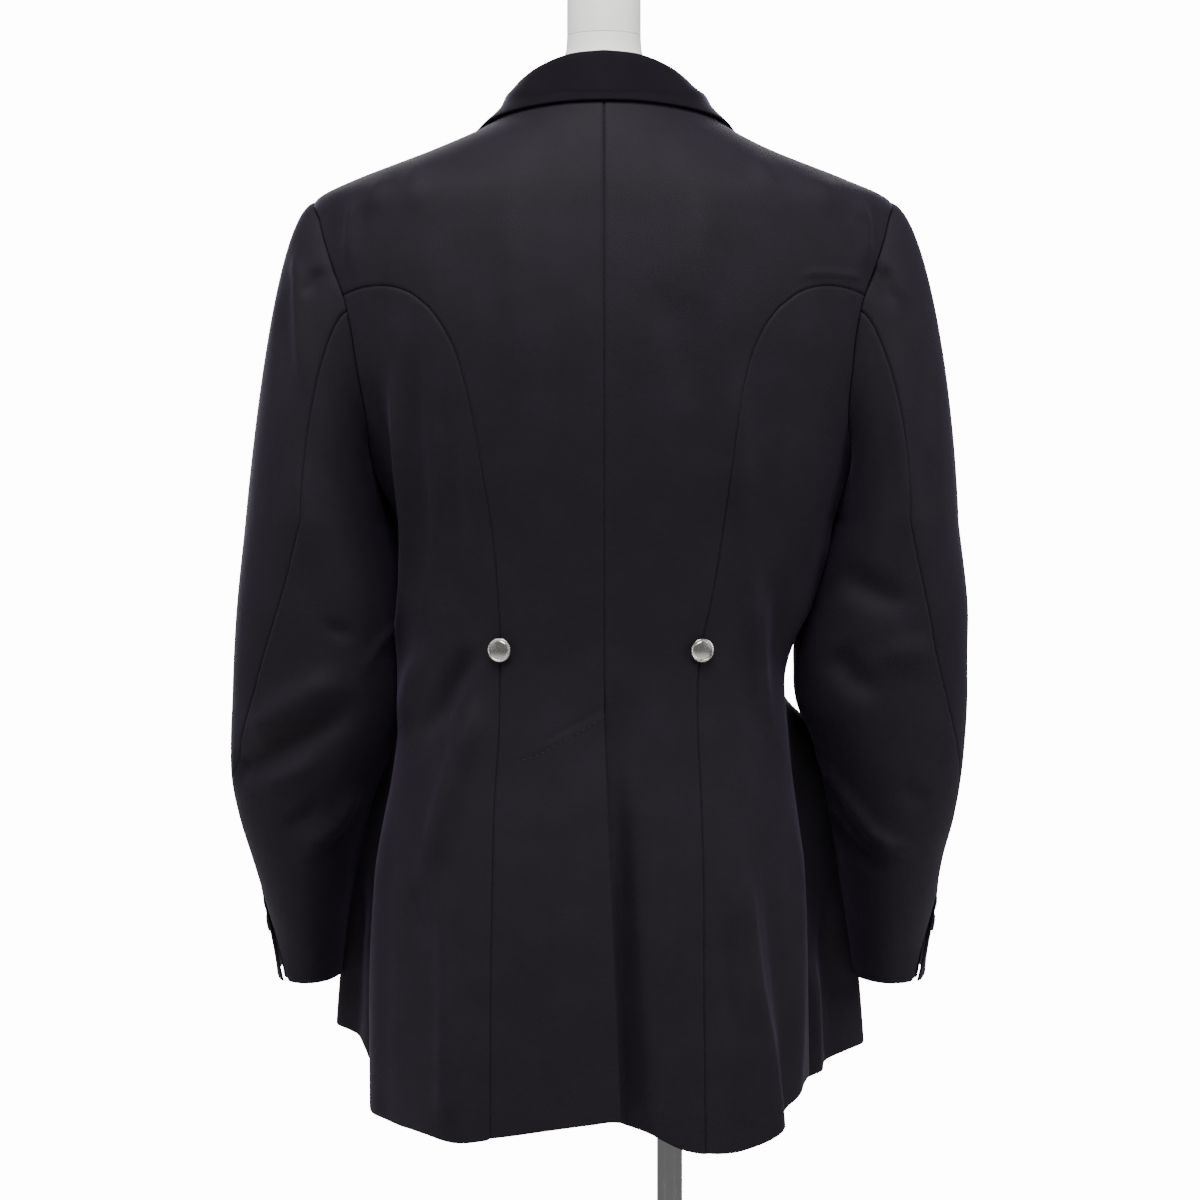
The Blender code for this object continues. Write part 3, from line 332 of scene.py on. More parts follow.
bodyCreases = [
    # The left back: folds beside the arm, pulls at the shoulder, waist and skirt.
    ([(0.152, 1.245), (0.1505, 1.15), (0.1475, 1.06), (0.1465, 0.985)], 0.005, 0.003, (0.3, 0.3)),
    ([(0.17, 1.235), (0.166, 1.15), (0.158, 1.07), (0.154, 1.01)], 0.009, -0.005, (0.3, 0.3)),
    ([(0.136, 1.255), (0.1355, 1.15), (0.134, 1.06)], 0.006, -0.002, (0.4, 0.4)),
    ([(0.1165, 1.24), (0.11, 1.15), (0.103, 1.07)], 0.007, -0.0014, (0.4, 0.4)),
    ([(0.18, 1.358), (0.1838, 1.339), (0.185, 1.318), (0.183, 1.292)], 0.0044, 0.0017, (0.3, 0.5)),
    ([(0.174, 1.355), (0.177, 1.31)], 0.006, -0.0007, (0.5, 0.5)),
    ([(0.16, 1.372), (0.1709, 1.335)], 0.005, 0.0012, (0.5, 0.5)),
    ([(0.132, 1.386), (0.141, 1.335)], 0.007, 0.0013, (0.4, 0.5)),
    ([(0.083, 1.0), (0.098, 0.948), (0.112, 0.895), (0.124, 0.845)], 0.0095, 0.0044, (0.3, 0.4)),
    ([(0.089, 1.03), (0.108, 0.99), (0.128, 0.948)], 0.009, -0.004, (0.3, 0.4)),
    ([(0.127, 1.035), (0.134, 0.995), (0.141, 0.955)], 0.0065, 0.0028, (0.4, 0.4)),
    ([(0.113, 0.88), (0.1065, 0.8), (0.1035, 0.68)], 0.006, 0.0018, (0.4, 0.1)),
    ([(0.136, 0.86), (0.128, 0.83), (0.12, 0.805)], 0.006, -0.0018, (0.4, 0.4)),
    ([(0.15, 0.93), (0.1565, 0.86), (0.159, 0.78), (0.159, 0.66)], 0.006, 0.0024, (0.3, 0.1)),
    ([(0.172, 0.95), (0.176, 0.86), (0.178, 0.78), (0.178, 0.66)], 0.0085, -0.004, (0.3, 0.1)),
    # The right back.
    ([(-0.1838, 1.357), (-0.1903, 1.336), (-0.1905, 1.318), (-0.189, 1.295)], 0.0046, 0.0018, (0.3, 0.4)),
    ([(-0.15, 1.374), (-0.163, 1.356), (-0.172, 1.33)], 0.008, 0.0012, (0.5, 0.5)),
    ([(-0.17, 1.364), (-0.181, 1.33)], 0.006, -0.0006, (0.5, 0.5)),
    ([(-0.1106, 1.39), (-0.124, 1.35)], 0.008, 0.0013, (0.5, 0.5)),
    ([(-0.1365, 1.2925), (-0.15, 1.2955), (-0.1657, 1.2965), (-0.19, 1.2945)], 0.0028, 0.0007, (0.3, 0.2)),
    ([(-0.1, 1.24), (-0.096, 1.18), (-0.0945, 1.1)], 0.009, 0.0022, (0.4, 0.4)),
    ([(-0.04, 1.3), (-0.054, 1.25), (-0.062, 1.19)], 0.013, -0.0016, (0.4, 0.4)),
    ([(-0.186, 1.25), (-0.183, 1.19), (-0.1765, 1.13)], 0.0045, 0.002, (0.3, 0.4)),
    ([(-0.103, 1.1), (-0.112, 1.04), (-0.122, 0.985), (-0.134, 0.94)], 0.008, 0.0034, (0.4, 0.4)),
    ([(-0.123, 1.09), (-0.132, 1.03), (-0.138, 0.985)], 0.008, -0.0026, (0.4, 0.4)),
    ([(-0.104, 0.9), (-0.1095, 0.84), (-0.1145, 0.785), (-0.124, 0.73), (-0.13, 0.66)],
     0.006, 0.0024, (0.3, 0.1)),
    ([(-0.125, 0.9), (-0.131, 0.82), (-0.139, 0.745), (-0.14, 0.66)], 0.008, -0.0026, (0.3, 0.1)),
    ([(-0.092, 0.86), (-0.095, 0.79), (-0.099, 0.72)], 0.008, -0.0018, (0.4, 0.4)),
    ([(-0.143, 0.93), (-0.15, 0.87), (-0.152, 0.79), (-0.15, 0.735), (-0.144, 0.67)],
     0.0056, 0.0026, (0.3, 0.1)),
    ([(-0.168, 0.95), (-0.175, 0.87), (-0.178, 0.79), (-0.176, 0.67)], 0.009, -0.0036, (0.3, 0.1)),
    # Faint lengthwise swells over the shoulder blades.
    ([(0.067, 1.375), (0.064, 1.3), (0.062, 1.18)], 0.011, 0.0014, (0.4, 0.5)),
    ([(0.036, 1.37), (0.034, 1.28), (0.035, 1.16)], 0.01, 0.001, (0.4, 0.5)),
    ([(-0.072, 1.372), (-0.07, 1.31), (-0.075, 1.24)], 0.011, 0.0014, (0.4, 0.5)),
    # The vent facing's edge, caught down inside, shows as a slanting line from the vent's top.
    ([(0.0015, 0.9785), (0.011, 0.9715), (0.0245, 0.964), (0.046, 0.9515), (0.07, 0.944)],
     0.0018, 0.0003, (0.02, 0.4)),
    ([(0.0015, 0.981), (0.011, 0.974), (0.0245, 0.9665), (0.046, 0.954)], 0.0018, -0.0004, (0.02, 0.5)),
]

# Side of the body, then each point's angle and height.
frontCreases = [
    (1, [(167, 1.02), (146, 1.055), (122, 1.1)], 0.01, 0.0034, (0.2, 0.4)),
    (1, [(166, 0.995), (143, 1.015), (118, 1.04)], 0.009, -0.003, (0.2, 0.4)),
    (1, [(164, 0.97), (140, 0.945), (118, 0.905)], 0.011, 0.0032, (0.3, 0.4)),
    (1, [(150, 1.11), (138, 1.15), (128, 1.185)], 0.013, 0.0026, (0.4, 0.4)),
    (1, [(118, 1.36), (127, 1.325), (131, 1.285)], 0.007, 0.002, (0.3, 0.4)),
    (1, [(127, 0.9), (125, 0.81), (124, 0.7)], 0.017, 0.0062, (0.4, 0.05)),
    (1, [(141, 0.88), (139, 0.8), (138, 0.7)], 0.013, -0.0048, (0.4, 0.05)),
    (1, [(111, 0.88), (110, 0.8), (110, 0.7)], 0.012, -0.004, (0.4, 0.05)),
    (-1, [(167, 1.024), (148, 1.049), (126, 1.082)], 0.009, 0.003, (0.2, 0.4)),
    (-1, [(165, 1.0), (140, 1.006), (116, 1.024)], 0.01, -0.0034, (0.2, 0.4)),
    (-1, [(166, 0.965), (144, 0.93), (124, 0.88)], 0.01, 0.0036, (0.3, 0.4)),
    (-1, [(146, 1.13), (136, 1.165), (129, 1.205)], 0.012, 0.0022, (0.4, 0.4)),
    (-1, [(116, 1.362), (124, 1.33), (130, 1.275)], 0.006, 0.0022, (0.3, 0.4)),
    (-1, [(122, 0.88), (121, 0.8), (120, 0.7)], 0.015, 0.0058, (0.4, 0.05)),
    (-1, [(136, 0.9), (134, 0.81), (132, 0.7)], 0.014, -0.0046, (0.4, 0.05)),
    (-1, [(108, 0.86), (107, 0.79), (106, 0.7)], 0.01, -0.004, (0.4, 0.05)),
    (-1, [(101, 0.8), (102, 0.76), (103, 0.7)], 0.007, 0.003, (0.4, 0.05)),
    # Where the skirt and the side swell out beside the arms.
    (-1, [(106, 0.99), (112, 0.966), (114, 0.945), (115, 0.92), (116, 0.89), (117, 0.84)],
     0.018, 0.0072, (0.28, 0.6)),
    (1, [(84, 1.13), (84, 1.09), (84, 1.05), (84, 0.96)], 0.01, 0.002, (0.3, 0.3)),
    (-1, [(82, 1.12), (82, 1.07), (82, 1.03)], 0.01, 0.0015, (0.3, 0.3)),
]

# Side, then each point's angle round the sleeve and height: where the arm presses it inward.
sleeveSides = [
    (1, [(195, 1.15), (195, 1.11), (195, 1.085), (192, 1.055)], 0.016, 0.0068, (0.35, 0.3)),
    (1, [(190, 1.06), (190, 0.98), (190, 0.9), (190, 0.79)], 0.014, 0.0028, (0.1, 0.05)),
    (-1, [(190, 1.14), (190, 1.08), (190, 1.03), (188, 1.005)], 0.014, 0.003, (0.2, 0.2)),
    (-1, [(190, 0.96), (190, 0.92), (190, 0.85), (190, 0.8)], 0.014, 0.0032, (0.3, 0.1)),
]

foldGain = {"body": 1.9, "sleeve": 1.1}

# Side and face (1 behind, -1 before) of the sleeve, then each point's sideways place and height.
sleeveFolds = [
    (1, 1, [(0.208, 1.304), (0.2125, 1.294), (0.216, 1.28)], 0.0055, -0.0034, (0.3, 0.4)),
    (1, 1, [(0.229, 1.322), (0.224, 1.297), (0.2235, 1.272), (0.2195, 1.229), (0.215, 1.19)],
     0.006, 0.003, (0.2, 0.4)),
    (1, 1, [(0.237, 1.29), (0.235, 1.25), (0.233, 1.2)], 0.009, -0.003, (0.4, 0.4)),
    (1, 1, [(0.221, 1.18), (0.22, 1.12), (0.215, 1.06)], 0.013, 0.0026, (0.4, 0.4)),
    (1, 1, [(0.266, 0.9555), (0.247, 0.972), (0.2269, 0.9854), (0.1896, 1.0077)], 0.011, 0.0052, (0.3, 0.3)),
    (1, 1, [(0.2777, 0.932), (0.25, 0.944), (0.2269, 0.9555), (0.2, 0.972), (0.1747, 0.9928)],
     0.011, -0.0072, (0.15, 0.3)),
    (1, 1, [(0.26, 0.92), (0.2337, 0.93), (0.205, 0.945)], 0.008, 0.0028, (0.4, 0.4)),
    (1, 1, [(0.2337, 0.8667), (0.215, 0.88), (0.1986, 0.8935), (0.1777, 0.9279)], 0.0085, 0.0044, (0.4, 0.3)),
    (1, 1, [(0.245, 0.885), (0.22, 0.9), (0.2, 0.917)], 0.008, -0.0034, (0.4, 0.4)),
    (1, 1, [(0.152, 1.056), (0.166, 1.028), (0.1821, 1.0)], 0.0036, 0.0024, (0.2, 0.4)),
    (1, 1, [(0.19, 1.045), (0.198, 1.03)], 0.01, -0.0026, (0.4, 0.4)),
    (1, -1, [(0.265, 1.03), (0.23, 1.02), (0.19, 1.038)], 0.01, 0.004, (0.3, 0.3)),
    (1, -1, [(0.268, 0.996), (0.23, 0.988), (0.185, 1.004)], 0.008, -0.006, (0.3, 0.2)),
    (1, -1, [(0.262, 0.962), (0.228, 0.952), (0.185, 0.97)], 0.009, 0.005, (0.3, 0.3)),
    (1, -1, [(0.256, 0.925), (0.228, 0.918), (0.195, 0.93)], 0.008, -0.004, (0.3, 0.3)),
    (-1, 1, [(-0.2, 1.308), (-0.206, 1.292), (-0.212, 1.27)], 0.0048, -0.0036, (0.3, 0.4)),
    (-1, 1, [(-0.206, 1.312), (-0.216, 1.292), (-0.22, 1.272)], 0.005, 0.0024, (0.3, 0.4)),
    (-1, 1, [(-0.2135, 1.26), (-0.2157, 1.18), (-0.218, 1.1)], 0.009, 0.003, (0.3, 0.4)),
    (-1, 1, [(-0.2322, 1.26), (-0.2335, 1.17), (-0.2343, 1.09)], 0.011, -0.0034, (0.3, 0.4)),
    (-1, 1, [(-0.17, 1.086), (-0.2016, 1.064), (-0.236, 1.052)], 0.011, -0.0052, (0.4, 0.4)),
    (-1, 1, [(-0.2, 1.024), (-0.225, 1.02), (-0.245, 1.026)], 0.012, 0.0044, (0.4, 0.4)),
    (-1, 1, [(-0.165, 1.025), (-0.185, 1.002), (-0.208, 0.985)], 0.011, -0.005, (0.3, 0.4)),
    (-1, 1, [(-0.156, 0.956), (-0.172, 0.928), (-0.1986, 0.888), (-0.2098, 0.8793), (-0.2374, 0.87)],
     0.0058, 0.0046, (0.2, 0.3)),
    (-1, 1, [(-0.172, 0.902), (-0.19, 0.872), (-0.215, 0.856)], 0.008, -0.0036, (0.3, 0.4)),
    (-1, 1, [(-0.215, 0.93), (-0.23, 0.915), (-0.246, 0.91)], 0.009, -0.003, (0.4, 0.4)),
    (-1, -1, [(-0.26, 1.036), (-0.225, 1.028), (-0.185, 1.042)], 0.009, 0.0044, (0.3, 0.3)),
    (-1, -1, [(-0.262, 1.004), (-0.225, 0.993), (-0.182, 1.006)], 0.008, -0.006, (0.3, 0.2)),
    (-1, -1, [(-0.256, 0.97), (-0.22, 0.956), (-0.185, 0.969)], 0.008, 0.005, (0.3, 0.3)),
    (-1, -1, [(-0.248, 0.93), (-0.218, 0.924), (-0.19, 0.935)], 0.008, -0.004, (0.3, 0.3)),
]


def creaseSpot(angle, height, side):
    # Metres from the centre back: straight sideways on the back, along the cloth before it.
    turned = np.abs(angle)
    across = np.sin(np.radians(np.minimum(turned, 90.0))) ** (2 / through(bodySections, height, 6))
    spot = through(bodySections, height, 1) * across + np.maximum(turned - 90, 0.0) * degreeLength
    return side * np.sign(angle) * spot


for side, points, *rest in frontCreases:
    bodyCreases.append(([(float(creaseSpot(a, z, side)), z) for a, z in points], *rest))


def creaseDepth(first, second, creases, gain=foldGain["body"]):
    # The height of all these creases at each spot; a crease fades at both ends.
    total = np.zeros(np.shape(first))
    for points, width, depth, tail in creases:
        points = np.array(points, float)
        steps = np.hypot(*np.diff(points, axis=0).T)
        run = np.concatenate([[0], np.cumsum(steps)]) / steps.sum()
        best = np.full(np.shape(first), 1e9)
        place = np.zeros(np.shape(first))
        for k in range(len(points) - 1):
            delta = points[k + 1] - points[k]
            part = (first - points[k, 0]) * delta[0] + (second - points[k, 1]) * delta[1]
            held = np.clip(part / max(delta @ delta, 1e-12), 0, 1)
            away = np.hypot(first - points[k, 0] - held * delta[0], second - points[k, 1] - held * delta[1])
            nearer = away < best
            best = np.where(nearer, away, best)
            place = np.where(nearer, run[k] + held * (run[k + 1] - run[k]), place)
        grown = smoothStep(place / tail[0]) if tail[0] else 1.0
        grown = grown * (smoothStep((1 - place) / tail[1]) if tail[1] else 1.0)
        total = total + depth * grown * np.exp(-((best / width) ** 2))
    return total * gain


# Meshes


def shellObject(name, grids, materials):
    # A closed wall from grids of outer points, inner points and cloth coordinates.
    outer = np.concatenate([grid[0].reshape(-1, 3) for grid in grids])
    inner = np.concatenate([grid[1].reshape(-1, 3) for grid in grids])
    marks = np.concatenate([grid[2].reshape(-1, 2) for grid in grids])
    _, first, index = np.unique(np.round(outer, 6), axis=0, return_index=True, return_inverse=True)
    index = index.reshape(-1)
    quads, start = [], 0
    for grid in grids:
        rows, columns = grid[0].shape[:2]
        numbers = index[start + np.arange(rows * columns)].reshape(rows, columns)
        four = np.stack([numbers[:-1, :-1], numbers[:-1, 1:], numbers[1:, 1:], numbers[1:, :-1]], -1)
        facing = np.cross(grid[0][:-1, 1:] - grid[0][:-1, :-1], grid[0][1:, :-1] - grid[0][:-1, :-1])
        outward = np.sum(facing * (grid[0] - grid[1])[:-1, :-1]) > 0
        quads.append((four if outward else four[..., ::-1]).reshape(-1, 4))
        start += rows * columns
    quads = np.concatenate(quads)
    outer, inner, marks = outer[first], inner[first], marks[first]
    count = len(outer)
    faces = []
    for quad in quads.tolist():
        corners = list(dict.fromkeys(quad))
        if len(corners) > 2:
            faces.append(corners)
    outerCount = len(faces)
    seen = {}
    for corners in faces:
        for a, b in zip(corners, corners[1:] + corners[:1]):
            seen[(a, b)] = True
    rim = [(a, b) for a, b in seen if (b, a) not in seen]
    faces += [[corner + count for corner in reversed(corners)] for corners in faces]
    faces += [[b, a, a + count, b + count] for a, b in rim]
    mesh = bpy.data.meshes.new(name)
    mesh.from_pydata(np.concatenate([outer, inner]).tolist(), [], faces)
    coords = np.concatenate([marks, marks])
    layer = mesh.uv_layers.new(name="cloth")
    corners = np.empty(len(mesh.loops), np.int32)
    mesh.loops.foreach_get("vertex_index", corners)
    layer.data.foreach_set("uv", coords[corners].astype(np.float32).reshape(-1))
    for material in materials:
        mesh.materials.append(material)
    if len(materials) > 1:
        slots = np.zeros(len(mesh.polygons), np.int32)
        slots[outerCount : 2 * outerCount] = 1
        mesh.polygons.foreach_set("material_index", slots)
    mesh.shade_smooth()
    mesh.set_sharp_from_angle(angle=radians(50))
    return addObject(name, mesh)


def standFor(made, node):
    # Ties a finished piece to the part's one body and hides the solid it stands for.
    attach(made, "root")
    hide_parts(node)
    return made


def addObject(name, mesh):
    made = bpy.data.objects.new(name, mesh)
    bpy.context.scene.collection.objects.link(made)
    return made


def nearness(points, lines):
    # Distance of each point from the nearest of these lines of closely spaced points.
    flat = points.reshape(-1, 3)
    if not lines:
        return np.full(points.shape[:-1], 1.0)
    samples = np.concatenate([denseLine(line) for line in lines])
    tree = KDTree(len(samples))
    for number, sample in enumerate(samples):
        tree.insert(sample, number)
    tree.balance()
    return np.array([tree.find(point)[2] for point in flat]).reshape(points.shape[:-1])


def denseLine(line, spacing=0.0003):
    steps = np.linalg.norm(np.diff(line, axis=0), axis=1)
    run = np.concatenate([[0], np.cumsum(steps)])
    places = np.linspace(0, run[-1], int(run[-1] / spacing) + 2)
    return np.column_stack([np.interp(places, run, line[:, k]) for k in range(3)])


def clothFaces(face, normal, marks, inset, seams, edges):
    # The outer and inner face of a panel, turned in at its seams and rounded at its free edges.
    # Sewn neighbours share their seam line, so their turned-in edges touch there.
    thick = cloth["thickness"]
    outer = face - normal * inset[..., None]
    nearSeam = nearness(face, seams)
    nearEdge = nearness(face, edges)
    dip = cloth["seamDip"] * np.clip(1 - nearSeam / cloth["seamWidth"], 0, 1) ** 2
    round_ = 0.5 * thick * (1 - np.sqrt(np.clip(1 - np.clip(1 - nearEdge / 0.001, 0, 1) ** 2, 0.04, 1)))
    inner = outer - normal * (thick - np.minimum(round_, 0.45 * thick))[..., None]
    return outer - normal * (np.minimum(dip, 0.8 * thick) + round_)[..., None], inner, marks


# The pieces of the body


def ventEdge(height):
    below = np.maximum(heights["ventTop"] - height, 0.0)
    return -0.0125 * below / (heights["ventTop"] - heights["hemCorner"])


def ventInset(sideways, height):
    below = smoothStep((heights["ventTop"] + 0.03 - height) / 0.05)
    under = cloth["lapGap"] * below * smoothStep((sideways + 0.04) / 0.024)
    beside = (sideways - ventEdge(height) + vent["troughPlace"]) / vent["troughWidth"]
    fallen = smoothStep((heights["ventTop"] - height) / 0.16)
    return under + vent["troughDepth"] * fallen * np.exp(-(beside**2))


def ventLift(sideways, height):
    beside = np.maximum(sideways - ventEdge(height), 0.0) / 0.022
    return -vent["lift"] * smoothStep((heights["ventTop"] - height) / 0.09) * np.exp(-(beside**2))


def levelsOf(bottom, split, top):
    # Heights along a lower edge: six shares below the vent's underlap and seven above it.
    return np.concatenate([np.linspace(bottom, split, 121), np.linspace(split, top, 141)[1:]])


def lowerSeam(side):
    corner = hemHeight(side * through(curvedSeam, heights["hemCorner"]))
    levels = levelsOf(corner, heights["underlapTop"], heights["archJoin"])
    return np.column_stack([backAngle(through(curvedSeam, levels), levels), levels])


def archSeam():
    knots = [(float(backAngle(x, z)), z) for z, x in seamArch] + [armhole[archKnot]]
    return curveThrough(knots)


def sideSeamLine():
    levels = np.linspace(heights["sideHem"], heights["underarm"], 300)
    return np.column_stack([through(sideSeam, levels), levels])


def centreLine(side):
    levels = levelsOf(hemHeight(0.0), heights["underlapTop"], heights["archJoin"])
    return np.column_stack([backAngle(side * ventEdge(levels), levels), levels])


def straight(first, last, count=120):
    return np.column_stack([np.linspace(first[k], last[k], count) for k in (0, 1)])


def perimeter(height):
    return 2 * (through(bodySections, height, 1) + through(bodySections, height, 2)) + 0.28


def onBody(grid, side, inset, seams, edges):
    angle, height = grid[..., 0], grid[..., 1]
    face, normal = creasedFace(angle, height, side)
    marks = np.stack([angle / 360 * perimeter(height), height], -1)
    lines = [[bodyLine(line, side) for line in group] for group in (seams, edges)]
    return clothFaces(face, normal, marks, inset(angle, height), *lines)


def creasedFace(angle, height, side):
    # The body's cloth with its creases, and its outward lines.
    face, normal = bodyFace(angle, height, side), bodyNormal(angle, height, side)
    depth = creaseDepth(creaseSpot(angle, height, side), height, bodyCreases)
    return face + normal * depth[..., None], normal


def bodyLine(line, side):
    # A seam's line of angles and heights, on the creased face of the cloth.
    return creasedFace(line[:, 0], line[:, 1], side)[0]


def noInset(angle, height):
    return np.zeros(np.shape(angle))


def backGrids(side):
    left, right = centreLine(side), lowerSeam(side)
    places = np.linspace(side * ventEdge(left[0][1]), through(curvedSeam, heights["hemCorner"]), 60)
    levels = hemHeight(side * places)
    bottom = np.column_stack([backAngle(places, levels), levels])
    bottom[0], bottom[-1] = left[0], right[0]
    split = straight((left[-1][0], heights["archJoin"]), (right[-1][0], heights["archJoin"]))
    us = fineSteps(0.085)
    vs = fineSteps(0.6, ends=False)
    lower = fillPatch(bottom, split, left, right, us, vs)
    arch = archSeam()
    middle = (45.0, 0.5 * (heights["neckSeamBack"] + heights["neckSeamSide"]))
    neck = evenly([(0.0, heights["neckSeamBack"]), middle, (90.0, heights["neckSeamSide"])], 120)
    shoulder = straight((90.0, heights["neckSeamSide"]), (90.0, heights["shoulderTip"]))
    armSide = curveThrough(armhole[archKnot::-1])
    centre = straight((0.0, heights["archJoin"]), (0.0, heights["neckSeamBack"]))
    upperUs = np.concatenate([us * 6 / 11, 6 / 11 + fineSteps(0.09)[1:] * 5 / 11])
    upperVs = fineSteps(0.165)
    low, high = joined((6, split), (5, arch)), joined((6, neck), (5, shoulder))
    upper = fillPatch(low, high, centre, armSide, upperUs, upperVs)
    seamBottom = heights["ventTop"]
    seams = [right, arch, centre, neck, shoulder, armSide, left[left[:, 1] > seamBottom]]
    edges = [bottom]
    if side == 1:
        edges.append(left[left[:, 1] <= seamBottom])

    def inset(angle, height):
        spot = creaseSpot(angle, height, side)
        return ventLift(spot, height) if side == 1 else ventInset(spot, height)

    grids = [onBody(lower, side, inset, seams, edges), onBody(upper, side, noInset, seams, edges)]
    if side == -1:
        grids.append(underlapGrid(left[:121], us))
    return grids


def underlapGrid(edge, us):
    # The part of the right back that lies under the left one below the vent's top.
    vs = fineSteps(0.6, ends=False)
    rows = vs[vs <= 6 / 13 + 1e-9] * 13 / 6
    params = np.linspace(0, 1, len(edge))
    angle = np.interp(rows, params, edge[:, 0])[:, None]
    height = np.interp(rows, params, edge[:, 1])[:, None]
    start = -ventEdge(height)
    across = np.concatenate([np.linspace(0, 0.97, 12), [0.985, 1.0]])[None, :]
    places = start + (-0.04 - start) * across
    lift = 0.55 * np.maximum(-places, 0.0) * smoothStep((height - 0.9) / 0.05)
    level = height - lift
    turned = np.where(across == 0, angle, backAngle(places, level))
    face, normal = bodyFace(turned, level, -1), bodyNormal(turned, level, -1)
    inset = ventInset(-places, height)
    marks = np.stack([turned / 360 * perimeter(level), level], -1)
    face = face + normal * creaseDepth(-places, level, bodyCreases)[..., None]
    free = [face[:, -1] - normal[:, -1] * inset[:, -1:], face[0]]
    return clothFaces(face, normal, marks, inset, [], free)


def sideBackGrids(side):
    lower, arch, right = lowerSeam(side), archSeam(), sideSeamLine()
    angles = np.linspace(lower[0][0], right[0][0], 80)
    level = hemHeight(bodyFace(angles, np.full(80, 0.69), side)[:, 0])
    toSide = smoothStep((angles - 80) / (right[0][0] - 80))
    bottom = np.column_stack([angles, level + (heights["sideHem"] - level) * toSide])
    bottom[0], bottom[-1] = lower[0], right[0]
    top = curveThrough(armhole[archKnot : underarmKnot + 1])
    us, vs = fineSteps(0.15), fineSteps(0.62)
    grid = fillPatch(bottom, top, joined((13, lower), (5, arch)), right, us, vs)
    return [onBody(grid, side, noInset, [lower, arch, right, top], [bottom])]


def frontInset(side):
    def inset(angle, height):
        if side == -1:
            return noInset(angle, height)
        underLapel = smoothStep((height - 1.1) / 0.05)
        return (cloth["lapGap"] + cloth["underLapel"] * underLapel) * smoothStep((angle - 148) / 24)

    return inset


def edgeKnots(rows):
    return [(float(frontAngle(x, z)), z) for z, x in rows]


def frontGrids(side):
    seam = sideSeamLine()
    arm = curveThrough(armhole[underarmKnot:] + [armhole[0]])
    left = curveThrough(edgeKnots(frontEdge) + edgeKnots(rollLine), 600)
    hem = [(a, z + side * frontHemTilt * float(smoothStep((a - 99) / 5))) for a, z in reversed(frontHem)]
    bottom = curveThrough(hem)
    bottom[0], bottom[-1] = left[0], seam[0]
    neck = curveThrough(frontNeck)
    shoulder = straight((90.0, heights["neckSeamSide"]), (90.0, heights["shoulderTip"]))
    neck[0] = left[-1]
    us, vs = fineSteps(0.27), fineSteps(0.75)
    grid = fillPatch(bottom, neck, left, joined((18, seam), (10, arm), (5, shoulder[::-1])), us, vs)
    return [onBody(grid, side, frontInset(side), [seam, arm, neck, shoulder], [bottom, left])]


def lapelGrids(side):
    base = frontInset(side)
    inner = curveThrough(edgeKnots(rollLine))
    outer = curveThrough(edgeKnots(lapelEdge))
    bottom = straight(inner[0], (inner[0][0] - 1.0, inner[0][1]))
    outer[0] = bottom[-1]
    top = curveThrough(edgeKnots(lapelTop))
    grid = fillPatch(bottom, top, inner, outer, fineSteps(0.07), fineSteps(0.24))

    def lifted(angle, height):
        return base(angle, height) - cloth["thickness"] - cloth["lapelGap"]

    return [onBody(grid, side, lifted, [], [outer, top])]


# The collar


def neckHeight(angle):
    back = heights["neckSeamBack"] + (heights["neckSeamSide"] - heights["neckSeamBack"]) * angle / 90
    return np.where(angle <= 90, back, through([(a, z) for a, z in reversed(frontNeck)], angle))


collarShape = {"seamRise": 0.0014, "edge": 0.0024, "middle": 0.0034, "neck": 0.0049, "foldRadius": 0.0026}


def collarGrids():
    last = collarSections[-1][0]
    signed = np.linspace(-last, last, 170)
    side, turn = np.where(signed >= 0, 1, -1), np.abs(signed)
    width, depth, top, lowAngle, low = (through(collarSections, turn, k) for k in range(1, 6))

    def onSide(angle, height, inset):
        made = np.empty((len(turn), 3))
        for each in (1, -1):
            held = side == each
            spots = angle[held], height[held], each
            made[held] = bodyFace(*spots) - bodyNormal(*spots) * inset
        return made

    seam = onSide(turn, neckHeight(turn) + collarShape["seamRise"], cloth["thickness"] / 2)
    fold = np.stack([np.sin(np.radians(turn)) * side * width, np.cos(np.radians(turn)) * depth, top], -1)
    edge = onSide(lowAngle, low, -collarShape["edge"])
    over = onSide(turn, neckHeight(turn), -collarShape["neck"])
    between = 0.5 * (neckHeight(turn) + edge[:, 2])
    middle = onSide(0.5 * (turn + lowAngle), between, -collarShape["middle"])
    outward = unit((edge - fold) * (1, 1, 0))
    radius = collarShape["foldRadius"]
    inner = fold + np.array((0, 0, -radius))
    knots = [seam, 0.5 * (seam + inner), inner, fold + outward * radius, inner + outward * 2 * radius]
    knots += [0.5 * (knots[-1] + over), over, middle, edge]
    knots = np.stack(knots)
    steps = np.linalg.norm(np.diff(knots, axis=0), axis=2).mean(axis=1)
    run = np.concatenate([[0], np.cumsum(steps)])
    places = fineSteps(run[-1]) * run[-1]
    face = np.stack([throughKnots(run, knots, place) for place in places])
    normal = unit(np.cross(np.gradient(face, axis=1), np.gradient(face, axis=0)))
    away = np.sum(normal[0] * (face[0] * (1, 1, 0)), -1).mean()
    if away > 0:
        normal = -normal
    marks = np.stack(np.broadcast_arrays(signed / 360 * 0.42, places[:, None]), -1)
    half = cloth["thickness"] / 2
    nearEdge = nearness(face, [face[-1], face[:, 0], face[:, -1]])
    half = half * np.sqrt(np.clip(1 - np.clip(1 - nearEdge / 0.0011, 0, 1) ** 2, 0.04, 1))[..., None]
    return [(face + normal * half, face - normal * half, marks)]


